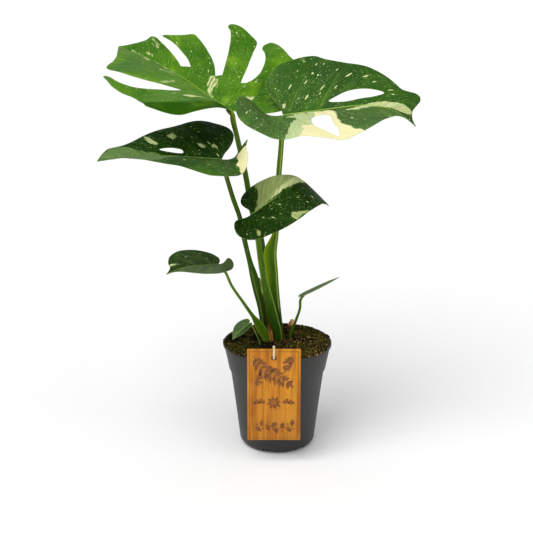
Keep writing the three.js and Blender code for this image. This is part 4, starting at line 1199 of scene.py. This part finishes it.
def soil_height(x, y):
    share = np.hypot(x, y) / RIM_RADIUS
    lumps = np.sin(0.31 * x + 0.7) * np.cos(0.27 * y - 0.4) + 0.6 * np.sin(0.53 * y + 0.23 * x)
    fade = np.minimum(1, 4 * (0.9 - share))
    return SOIL_EDGE_HEIGHT + SOIL_MOUND * (1 - share**2) + SOIL_LUMP * lumps * fade


def ground_roughness(x, y):
    """Small fixed unevenness of the soil: a sum of waves in many directions."""
    draw = np.random.default_rng(11)
    total = np.zeros_like(x)
    for _ in range(26):
        turn, wave, phase = draw.uniform(0, 2 * math.pi), draw.uniform(2.6, 9), draw.uniform(0, 2 * math.pi)
        total += np.sin((x * math.cos(turn) + y * math.sin(turn)) * 2 * math.pi / wave + phase) * wave
    return total * 0.013


def soil_material():
    """Near-black peat with brown grains, tan fibre and green moss in patches."""
    f = Finish("potting_soil", 0.9)
    tint = f.value("tint")
    grains = f.noise(420, 4)
    # Lighter and mossy towards the rim and the front right; painted shade, nearly black, left of the stems
    x, y, _ = f.split(f.place)
    aside = f.math("POWER", x + 0.022, 2) + f.math("POWER", y - 0.006, 2)
    clear_of_painted_shade = f.rise(aside + (f.noise(24) - 0.5) * 0.003, 0.0004, 0.0021)
    colour = f.coats(
        f.mix(f.rise(grains, 0.35, 0.7), tone(6, 4, 1), tone(28, 21, 8)),
        (f.rise(f.noise(55), 0.5, 0.66) * 0.5, tone(50, 44, 14)),
        (f.rise(tint, 0.66, 0.72), f.mix(grains, tone(60, 44, 16), tone(88, 70, 30))),
        (f.rise(tint, 0.88, 0.92), f.mix(grains, tone(96, 72, 34), tone(158, 124, 70))),
        ((1 - f.rise(tint, 0.12, 0.25)) * 0.8, tone(6, 4, 2)),
        # painted shade, nearly black, where the leaves and stems shade the soil
        ((1 - clear_of_painted_shade) * 0.88, tone(6, 5, 2)),
        (clear_of_painted_shade * f.rise(tint, 0.54, 0.6), f.mix(grains, tone(46, 39, 10), tone(90, 76, 28))),
        (clear_of_painted_shade * f.rise(tint, 0.88, 0.91), f.mix(grains, tone(108, 84, 36), tone(160, 130, 74))))
    return f.finish(colour, None, f.bump(grains, 0.0008, 0.8), Specular_IOR_Level=0.1)


def moss_material():
    f = Finish("moss", 0.85)
    colour = f.coats(f.mix(f.rise(f.value("tint"), 0.1, 0.9), tone(34, 38, 6), tone(100, 98, 28)),
                     (f.rise(f.noise(90, 2), 0.5, 0.66), tone(112, 92, 38)))
    return f.finish(colour, None, f.bump(f.noise(900, 2), 0.0004, 0.5), Specular_IOR_Level=0.1)


def make_soil():
    """The fill of the pot; gives back the points and faces of its surface."""
    wall = [(0, 2.1), (FOOT_RADIUS - 0.3, 2.1), (FOOT_RADIUS + 2.2, 3.2),
            (BODY_FOOT_RADIUS - WALL - 0.3, 6.8), (BODY_TOP_RADIUS - WALL - 0.3, 88.1),
            (BAND_FOOT_RADIUS - WALL - 0.3, 89.6), (SOIL_RADIUS - 0.8, 111.5), (SOIL_RADIUS, 114.8)]
    points, faces = lathe(wall + [(r, 0) for r in np.linspace(SOIL_RADIUS, 0, SOIL_RINGS)], SOIL_SIDES)
    points = np.array(points)
    first = len(points) - (SOIL_SIDES * (SOIL_RINGS - 1) + 1)
    top = np.arange(len(points)) >= first
    x, y = points[:, 0], points[:, 1]
    # The surface is level with the CAD soil, a little rough, and drawn up at the rim and round the bark chip
    distance = np.hypot(x, y)
    rough = ground_roughness(x, y) * smooth((SOIL_RADIUS + 1.5 - distance) / 3)
    banked = 1.2 * smooth((distance - 44) / 10) + 3.4 * np.exp(-((x - 15) ** 2 + (y - 41) ** 2) / 42)
    points[:, 2] = np.where(top, soil_height(x, y) + rough + banked, points[:, 2])
    piece = add_piece("soil_fill", points, faces, soil_material(), {"tint": np.full(len(points), 0.4)}, 60)
    dress(piece, "soil", "soil")
    return points[first:], [tuple(v - first for v in f) for f in faces if min(f) >= first]


def scatter_tree(name, seed, patchy, upright):
    """Strews copies of one small shape over a surface, at random sizes and turns, in patches if asked."""
    g = Growth(name, Shape="Object", Finish="Material", Density="Float", Smallest="Float", Largest="Float")
    density = g.inputs["Density"]
    if patchy:
        noise = g.node("ShaderNodeTexNoise", Scale=patchy, Detail=2.0)
        ramp = g.node("ShaderNodeMapRange", noise.outputs[0], 0.46, 0.6)
        density = g.math("MULTIPLY", ramp.outputs[0], density)
    spread = g.node("GeometryNodeDistributePointsOnFaces",
                    Mesh=g.inputs["Geometry"], Density=density, Seed=seed)
    shape = g.node("GeometryNodeObjectInfo", Object=g.inputs["Shape"])
    lean = (0.5, 0.5) if upright else (2 * math.pi,) * 2
    start = (-0.5, -0.5, 0) if upright else (0, 0, 0)
    copies = g.node("GeometryNodeInstanceOnPoints", Points=spread.outputs["Points"],
                    Instance=shape.outputs["Geometry"],
                    Scale=g.random(g.inputs["Smallest"], g.inputs["Largest"], seed + 1),
                    Rotation=g.random(start, (*lean, 2 * math.pi), seed + 2, "FLOAT_VECTOR"))
    tinted = g.node("GeometryNodeStoreNamedAttribute", fixed={"data_type": "FLOAT", "domain": "INSTANCE"},
                    Geometry=copies.outputs[0], Name="tint", Value=g.random(0.0, 1.0, seed + 3))
    return g.close(tinted.outputs[0])


def crumb_shape():
    """An irregular grain of a few faces, about one unit across."""
    draw = np.random.default_rng(5)
    points, faces = lathe([(0, -0.5), (0.36, -0.32), (0.5, 0.02), (0.34, 0.36), (0, 0.48)], 6)
    return np.array(points) + draw.normal(0, 0.07, (len(points), 3)), faces


def sliver_shape():
    """A bent splinter of fibre, one unit long."""
    rings = []
    for t, size in ((0, 0.03), (0.3, 0.09), (0.7, 0.08), (1, 0.02)):
        centre = np.array([t - 0.5, 0.12 * math.sin(math.pi * t), 0.03 + 0.1 * t * t])
        rings += [centre + (0, y, z) for y, z in ((size, 0), (0, size * 0.4), (-size, 0), (0, -size * 0.4))]
    return np.array(rings), tube_faces(4, 4)


def tuft_shape():
    """A moss tuft: five short pointed shoots leaning outwards."""
    points, faces = [], []
    for k in range(5):
        turn = 2 * math.pi * k / 5 + 0.3 * k
        lean = 0.35 + 0.12 * (k % 3)
        base = len(points)
        across = np.array([-math.sin(turn), math.cos(turn), 0]) * 0.1
        away = np.array([math.cos(turn), math.sin(turn), 0])
        foot = away * 0.08
        middle = away * (0.1 + lean * 0.45) + (0, 0, 0.45)
        tip = away * (0.1 + lean) + (0, 0, 0.8 - 0.3 * lean)
        points += [foot - across, foot + across, foot + away * 0.09,
                   middle - across * 0.8, middle + across * 0.8, middle + away * 0.07, tip]
        for a, b in chain(base, 3, True):
            faces += [(a, b, b + 3, a + 3), (a + 3, b + 3, base + 6)]
        faces.append((base + 2, base + 1, base))
    return np.array(points), faces


# Arcs of the lip, in degrees from the right, on which crumbs lie
SPILLS = ((12, 72), (99, 129), (174, 249), (294, 339))


def spilled_lip():
    """The flat top of the lip within those arcs."""
    points, faces = [], []
    for start, end in SPILLS:
        first = len(points)
        for turn in np.radians(np.arange(start, end + 1, 3)):
            for radius in (57.6, 59.6):
                points.append((radius * math.cos(turn), radius * math.sin(turn), POT_HEIGHT + 0.1))
        faces += [(i, i + 1, i + 3, i + 2) for i in range(first, len(points) - 2, 2)]
    return points, faces


def make_ground():
    points, faces = make_soil()
    crumbly, mossy = soil_material(), moss_material()
    # Only the inner part of the surface, short of the pot wall, carries grains
    inner = [face for face in faces if all(np.hypot(*points[v][:2]) < 57.2 for v in face)]
    surface = add_piece("soil_surface", points, inner, crumbly)
    lip = add_piece("lip_surface", *spilled_lip(), crumbly)
    # Name, shape, finish, seed, size of the patches, upright, number on a square metre, sizes in m, ground
    kinds = (
        ("soil_crumbs", crumb_shape, crumbly, 21, 0, False, 490000, 0.0008, 0.0027, surface),
        ("soil_fibres", sliver_shape, crumbly, 31, 0, False, 36000, 0.003, 0.009, surface),
        ("moss_tufts", tuft_shape, mossy, 41, 26.0, True, 830000, 0.0012, 0.0028, surface),
        ("lip_crumbs", crumb_shape, crumbly, 51, 60.0, False, 2200000, 0.0008, 0.0024, lip),
    )
    for name, shape, skin, seed, patchy, upright, density, small, large, ground in kinds:
        points, faces = shape()
        seedling = add_piece(name + "_shape", points / MM, faces, skin)
        grow(ground, scatter_tree(name, seed, patchy, upright), {
            "Shape": seedling, "Finish": skin, "Density": float(density), "Smallest": small, "Largest": large,
        }, name, "soil")
        bpy.data.objects.remove(seedling)
    bpy.data.objects.remove(surface)
    bpy.data.objects.remove(lip)


make_ground()


# Bark and the dry sheath

def bark_material(name, dark, light):
    f = Finish(name, 0.85)
    strands = f.noise(240, 4, f.stretch((1, 1, 0.22)), 0.65)
    colour = f.coats(f.mix(f.rise(strands, 0.35, 0.65), dark, light),
                     (f.rise(f.noise(70, 2), 0.52, 0.66) * 0.5, dark))
    return f.finish(colour, None, f.bump(strands, 0.0009, 0.8), Specular_IOR_Level=0.1)


def papery_material():
    """Bud sheath: pale green at its tip, reddish below that, dark where pressed in, tan at its foot."""
    f = Finish("dry_sheath_skin", 0.8)
    strands = f.noise(240, 4, f.stretch((1, 1, 0.15)), 0.65)
    z = f.split(f.place)[2] + (strands - 0.5) * 0.016
    strips = f.noise(900, 3, f.stretch((1, 1, 0.06)), 0.6)
    pressed = f.noise(380, 2, f.stretch((1, 1, 0.1)))
    colour = f.coats(
        f.mix(f.rise(z, 0.126, 0.142), tone(158, 98, 44), tone(56, 36, 12)),
        (f.rise(z, 0.158, 0.168), tone(146, 66, 16)),
        (f.rise(z, 0.172, 0.18), tone(164, 182, 84)),
        (f.rise(strips, 0.44, 0.6) * 0.8, tone(64, 30, 8)),
        (f.rise(pressed, 0.46, 0.56) * 0.8, tone(52, 26, 8)))
    return f.finish(colour, None, f.bump(strands, 0.0009, 0.8), Specular_IOR_Level=0.08)


def make_dry_sheath():
    sides = 20
    run, centres, wide, deep, turns = sweep(DRY_SHEATH, sides, 1.5)
    draw = np.random.default_rng(3)
    points = []
    for i in range(len(run)):
        pressed = 1 - 0.45 * np.exp(-(((centres[i][2] - 152) / 13) ** 2))
        crinkle = 0.16 * np.sin(5 * turns + 0.5 * i) + draw.normal(0, 0.05, sides)
        x = np.cos(turns) * (run[i, 3] / 2 * pressed + crinkle)
        y = np.sin(turns) * (run[i, 4] / 2 + crinkle * 0.4) + 0.5 * (np.cos(turns) ** 2 - 0.5)
        points.append(centres[i] + x[:, None] * wide[i] + y[:, None] * deep[i])
    piece = add_piece("papery_sheath", np.concatenate(points), tube_faces(len(run), sides), papery_material())
    dress(piece, "dry_sheath", "dry_sheath")


def make_stub():
    draw = np.random.default_rng(8)
    profile = [(0, 107), (4.3, 107), (4.35, 109), (4.0, 111.5), (4.15, 112.2), (3.85, 115), (3.95, 115.8),
               (3.6, 118.5), (3.55, 120.3), (3.2, 121.2), (2.4, 121.4), (1.2, 120.9), (0, 120.7)]
    points, faces = lathe(profile, 28)
    points = np.array(points)
    turn = np.arctan2(points[:, 1], points[:, 0])
    swell = (1 + 0.05 * np.sin(3 * turn + 1) + 0.03 * np.sin(7 * turn + points[:, 2])
             + draw.normal(0, 0.012, len(turn)))
    points[:, :2] *= swell[:, None]
    piece = add_piece("old_stem_stub", points + (9.5, -5, 0), faces,
                      bark_material("bark", tone(34, 16, 8), tone(84, 44, 22)), smooth_angle=60)
    dress(piece, "bark", "stem_stub")


def make_chip():
    """A splinter of bark standing in the soil, torn at its upper end."""
    draw = np.random.default_rng(2)
    rows, sides = 9, 12
    turns = full_turn(sides)
    points = []
    for t in (i / (rows - 1) for i in range(rows)):
        z = 107 + 19.5 * t
        half = (2.6 + 0.7 * math.sin(2.6 * t)) * (1 if t < 0.99 else 0.6)
        lean = math.tan(math.radians(12)) * (z - 116.5)
        jag = draw.normal(0, 0.12, sides) + (1.3 * np.sin(3 * turns + 1) * (t > 0.95))
        points.append(np.stack([
            15 + lean + np.cos(turns) * half, 45.5 + np.sin(turns) * half * 0.42, z + jag], axis=1))
    faces = tube_faces(rows, sides)
    piece = add_piece("bark_splinter", np.concatenate(points), [f[::-1] for f in faces[:-2]] + faces[-2:],
                      bark_material("bark_splinter_skin", tone(168, 110, 56), tone(246, 196, 136)),
                      smooth_angle=60)
    dress(piece, "bark", "bark_chip")


make_dry_sheath()
make_stub()
make_chip()


# Plant tag

def tag_material():
    """Orange-brown veneer with lengthwise grain, pores and a slightly darker foot."""
    f = Finish("tag_wood")
    x, _, z = f.split(f.place)
    across = x * 160 + f.noise(9, 3, f.stretch((3, 1, 0.7))) * 5
    rings = f.noise(1.3, 4, f.vector(across, z * 4, 0.3), 0.6)
    streaks = f.noise(420, 3, f.stretch((1, 1, 0.03)), 0.6)
    colour = f.coats(
        f.mix(f.rise(rings, 0.35, 0.68), tone(196, 130, 30), tone(164, 96, 14)),
        (f.rise(streaks, 0.48, 0.62) * 0.5, tone(122, 66, 8)),
        (f.rise(f.noise(30), 0.45, 0.7) * 0.4, tone(206, 144, 46)),
        ((1 - f.rise(z, 0.02, 0.1)) * 0.4, tone(142, 84, 12)))
    return f.finish(colour, f.span(streaks, 0.3, 0.7, 0.42, 0.6), f.bump(streaks, 0.0002, 0.6),
                    Specular_IOR_Level=0.25)


def burnt_material():
    f = Finish("tag_burnt_lines", 0.7)
    mottle = f.noise(260, 4)
    colour = f.mix(f.rise(mottle, 0.3, 0.7), tone(88, 46, 8), tone(136, 78, 20))
    return f.finish(colour, None, f.bump(mottle, 0.0002, 0.5))


def tag_ring(inset, corner, steps=5):
    """The tag's margin, or a line that far inside it, as a run of (x, z), anticlockwise."""
    reach_x, reach_z = TAG_WIDTH / 2 - inset - corner, TAG_HEIGHT / 2 - inset - corner
    run = []
    for sx, sz, start in ((1, 1, 0), (-1, 1, 90), (-1, -1, 180), (1, -1, 270)):
        for turn in np.radians(start + 90 * np.arange(steps) / (steps - 1)):
            run.append((TAG_CENTRE_X + sx * reach_x + corner * math.cos(turn),
                        TAG_FOOT + TAG_HEIGHT / 2 + sz * reach_z + corner * math.sin(turn)))
    return np.array(run)


def make_tag():
    sides = 48
    circle = np.stack([np.cos(full_turn(sides)), np.sin(full_turn(sides))], axis=1)
    middle = np.array([TAG_CENTRE_X, TAG_HOLE])
    # The margin and the hole, each with a second run beside it that keeps the face between them flat
    runs = [tag_ring(0, 1.2), middle + circle * TAG_HOLE_RADIUS,
            tag_ring(0.8, 0.8), middle + circle * (TAG_HOLE_RADIUS + 0.8)]
    edges, start = [], 0
    for run in runs:
        edges += chain(start, len(run), closed=True)
        start += len(run)
    flat, faces = triangulate(runs, edges, 1e-5, lambda c: inside(c, runs[0]) & ~inside(c, runs[1]))
    faces = [tuple(f) for f in faces]
    count, outer = len(flat), len(runs[0])
    faces += [tuple(v + count for v in f[::-1]) for f in faces]
    faces += [(b, a, a + count, b + count) for a, b in edges[:outer]]
    faces += [(a, b, b + count, a + count) for a, b in edges[outer:outer + sides]]
    points = [(x, depth, z) for depth in (TAG_FRONT, TAG_BACK) for x, z in flat]
    board = add_piece("tag_board", points, faces, tag_material(), smooth_angle=40)
    bevel = board.modifiers.new("soft edges", "BEVEL")
    bevel.width = 0.0003
    bevel.segments = 2
    bevel.limit_method = "ANGLE"
    bevel.angle_limit = math.radians(60)
    board.data = settled_mesh(board, 40)
    dress(board, "tag_wood", "tag")


class Burning:
    """Gathers thin flat inlays on the front of the tag."""

    def __init__(self):
        self.points, self.faces = [], []

    def inlay(self, one, two):
        """A closed flat piece between two runs of (x, z)."""
        ring = np.concatenate([one, two[::-1]])
        turned = np.roll(ring, -1, axis=0)
        if (ring[:, 0] * turned[:, 1] - turned[:, 0] * ring[:, 1]).sum() < 0:
            one, two = two, one
        n, base = len(one), len(self.points)
        for depth in (TAG_FRONT - BURN_RISE, TAG_FRONT + 0.2):
            self.points += [(x + TAG_CENTRE_X, depth, z + TAG_FOOT) for x, z in np.concatenate([one, two])]
        f1, f2, b1, b2 = (list(range(base + k * n, base + (k + 1) * n)) for k in range(4))
        for i, j in chain(0, n, closed=False):
            self.faces += [(f1[i], f1[j], f2[j], f2[i]), (b1[i], b2[i], b2[j], b1[j]),
                           (f1[j], f1[i], b1[i], b1[j]), (f2[i], f2[j], b2[j], b2[i])]
        self.faces += [(f1[0], f2[0], b2[0], b1[0]), (f2[-1], f1[-1], b1[-1], b2[-1])]

    def line(self, points, width, end_width=None):
        """A line that may narrow; gives back its points and headings."""
        run = even_run(points, 1.5) if len(points) > 2 else np.array(points, float)
        tangent = unit(np.gradient(run, axis=0))
        across = np.stack([-tangent[:, 1], tangent[:, 0]], axis=1)
        half = np.linspace(width, end_width or width, len(run))[:, None] / 2
        self.inlay(run + across * half, run - across * half)
        return run, np.arctan2(tangent[:, 1], tangent[:, 0])

    def leaf(self, x, z, turn, length, width):
        """Two halves with a bare line between them for the midrib."""
        t = np.linspace(0, 1, 9)
        bulge = width / 2 * np.sin(math.pi * t**0.8) + 0.14
        c, s = math.cos(turn), math.sin(turn)
        for side in (-1, 1):
            edges = [(x + t * length * c - side * v * s, z + t * length * s + side * v * c)
                     for v in (bulge, 0.1)]
            self.inlay(*(np.stack(edge, axis=1) for edge in edges))

    def twig(self, points, leaves, length, width, lean, stalk=0.7):
        run, ahead = self.line(points, stalk, 0.3)
        for k in range(leaves):
            i = round((k + 0.7) / leaves * (len(run) - 1))
            size = 1 - 0.45 * abs(2 * (k + 0.5) / leaves - 0.9)
            for side in (-1, 1):
                self.leaf(*run[i], ahead[i] + side * math.radians(lean), length * size,
                          width * (0.4 + 0.6 * size))
        self.leaf(*run[-1], ahead[-1], length * 0.6, width * 0.7)

    def berry(self, x, z, radius):
        turns = np.linspace(0.05, math.pi - 0.05, 9)
        self.inlay(*(np.stack([x + radius * np.cos(turns), z + side * radius * np.sin(turns)], axis=1)
                     for side in (1, -1)))


def make_burning():
    """A thin border, a willow spray, a flower with two twigs, and a twig with berries, burnt into the tag.
    Places are in mm from the middle of the tag's foot."""
    burn = Burning()
    inset = 2.6
    wide, high = TAG_WIDTH / 2 - inset, TAG_HEIGHT - inset
    for one, two in (((-wide, inset), (wide, inset)), ((-wide, high), (wide, high)),
                     ((-wide, inset), (-wide, high)), ((wide, inset), (wide, high))):
        burn.line([one, two], 0.5)
    burn.twig([(-22.5, 98), (-12, 84), (2, 74), (15, 66)], 9, 14, 4.4, 48)
    burn.twig([(22, 98), (16, 91), (13, 83)], 5, 8, 3, 50)
    burn.twig([(-21, 63), (-16, 69), (-15, 76)], 4, 6, 2.6, 50)
    for turn in (k * math.pi / 4 + 0.2 for k in range(8)):
        burn.leaf(1.6 * math.cos(turn), 44 + 1.6 * math.sin(turn), turn, 6.4, 3)
    burn.berry(0, 44, 1.1)
    for side in (-1, 1):
        burn.twig([(9 * side, 43.5), (14 * side, 45.6), (20 * side, 44)], 4, 5, 2.4, 46, 0.5)
    run, ahead = burn.line([(-22, 14), (-10, 18), (6, 14), (22, 18)], 0.8, 0.4)
    for k in range(8):
        i = round((k + 0.5) / 8 * (len(run) - 1))
        side = 1 if k % 2 else -1
        burn.leaf(*run[i], ahead[i] + side * math.radians(62), 7.6, 4.4)
        berry = run[i] + (1.6, -side * 3.6)
        burn.line([run[i], berry], 0.35)
        burn.berry(*berry, 1.0)
    piece = add_piece("tag_burning", burn.points, burn.faces, burnt_material(), smooth_angle=30)
    dress(piece, "tag_wood")


make_tag()
make_burning()


# Twine

def twine_tree():
    """Two plies wound round each other along a path."""
    g = Growth("twisted_twine", Finish="Material")
    even = g.node("GeometryNodeResampleCurve", fixed={"mode": "LENGTH"}, Curve=g.inputs["Geometry"],
                  Length=TWINE_STEP)
    ring = g.node("GeometryNodeCurvePrimitiveCircle", Resolution=10, Radius=PLY_RADIUS)
    join = g.node("GeometryNodeJoinGeometry")
    for ply in (0.0, math.pi):
        travelled = g.node("GeometryNodeSplineParameter").outputs["Length"]
        turn = g.math("MULTIPLY_ADD", g.math("DIVIDE", travelled, TWINE_PITCH), 2 * math.pi, ply)
        normal = g.node("GeometryNodeInputNormal").outputs[0]
        tangent = g.node("GeometryNodeInputTangent").outputs[0]
        cross = g.vector_math("CROSS_PRODUCT", tangent, normal)
        parts = [g.vector_math("SCALE", axis, Scale=g.math("MULTIPLY", g.math(wave, turn), PLY_OFFSET))
                 for wave, axis in (("COSINE", normal), ("SINE", cross))]
        moved = g.node("GeometryNodeSetPosition",
                       Geometry=even.outputs[0], Offset=g.vector_math("ADD", *parts))
        tube = g.node("GeometryNodeCurveToMesh", Curve=moved.outputs[0], Profile_Curve=ring.outputs[0],
                      Fill_Caps=True)
        g.tree.links.new(tube.outputs[0], join.inputs[0])
    return g.close(join.outputs[0])


def twine_material():
    f = Finish("twine_fibre", 0.9)
    fibres = f.noise(700, rough=0.7)
    colour = f.mix(f.rise(fibres, 0.3, 0.7), tone(176, 150, 104), tone(232, 216, 178))
    return f.finish(colour, None, f.bump(fibres, 0.0003, 0.8))


def make_twine():
    r, x = TWINE_RADIUS, TAG_CENTRE_X
    front = TAG_FRONT - 0.3 - r
    rim_top = POT_HEIGHT + 0.3 + r
    beside = 2 * r + 1.2
    route = [
        (x - 1.6, -30, 115.5), (x - 1.2, -33.5, 119.2), (x - 0.8, -37, 120.3), (x, -52, rim_top + 2.5),
        (x, TAG_BACK + 3.2, TAG_TOP - 3.5), (x, TAG_BACK + 1.5, TAG_TOP + 1.2),
        (x, TAG_BACK - 0.2, TAG_TOP + r + 0.6), (x, TAG_FRONT, TAG_TOP + r + 0.5),
        (x, front, TAG_TOP + 0.6), (x, front, TAG_TOP - 3), (x, front, TAG_HOLE + 2.4),
        (x, TAG_FRONT - 1.1, TAG_HOLE + 0.4), (x, TAG_FRONT, TAG_HOLE), (x, TAG_BACK, TAG_HOLE),
        (x + 0.6, TAG_BACK + 2.2, TAG_HOLE), (x + beside, -51, rim_top + 1.6), (x + beside, -38, 120),
        (x + beside - 0.3, -34.5, 118.8), (x + beside - 0.6, -31, 115),
    ]
    points = catmull(route, per_span=8) * MM
    path = bpy.data.curves.new("twine_path", "CURVE")
    path.dimensions = "3D"
    spline = path.splines.new("POLY")
    spline.points.add(len(points) - 1)
    for spot, place in zip(spline.points, points):
        spot.co = (*place, 1)
    base = link_piece("twine_path", path)
    piece = grow(base, twine_tree(), {"Finish": twine_material()}, "twine_loop", "twine", 60)
    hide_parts("twine")
    bpy.data.objects.remove(base)


make_twine()


# Floor, light and camera

def make_stage():
    f = Finish("studio_floor", 0.85)
    colour = f.mix(f.noise(0.7, 2), (0.83, 0.83, 0.83, 1), (0.86, 0.86, 0.86, 1))
    points, faces = lathe([(0, -0.5), (FLOOR_RADIUS, -0.5), (FLOOR_RADIUS, -60), (0, -60)], 48)
    add_piece("studio_floor", points, [face[::-1] for face in faces], f.finish(colour))
    world = bpy.context.scene.world or bpy.data.worlds.new("studio")
    bpy.context.scene.world = world
    world.use_nodes = True
    background = world.node_tree.nodes["Background"]
    background.inputs[0].default_value = (1, 1, 1, 1)
    background.inputs[1].default_value = WORLD_STRENGTH
    for name, place, spread, strength in LAMPS:
        lamp = bpy.data.lights.new(name, "SUN")
        lamp.angle = math.radians(spread)
        lamp.energy = strength
        holder = link_piece(name, lamp)
        holder.location = place
        holder.rotation_euler = (-Vector(place)).to_track_quat("-Z", "Y").to_euler()


def make_camera():
    lens = bpy.data.cameras.new("camera")
    lens.sensor_width = CAMERA_SENSOR
    lens.sensor_fit = "HORIZONTAL"
    lens.lens = CAMERA_LENS
    camera = link_piece("camera", lens)
    camera.location = CAMERA_PLACE
    camera.rotation_euler = (math.radians(90 - CAMERA_DOWN), 0, 0)
    bpy.context.scene.camera = camera


make_stage()
make_camera()
bpy.context.scene.view_settings.view_transform = "Standard"
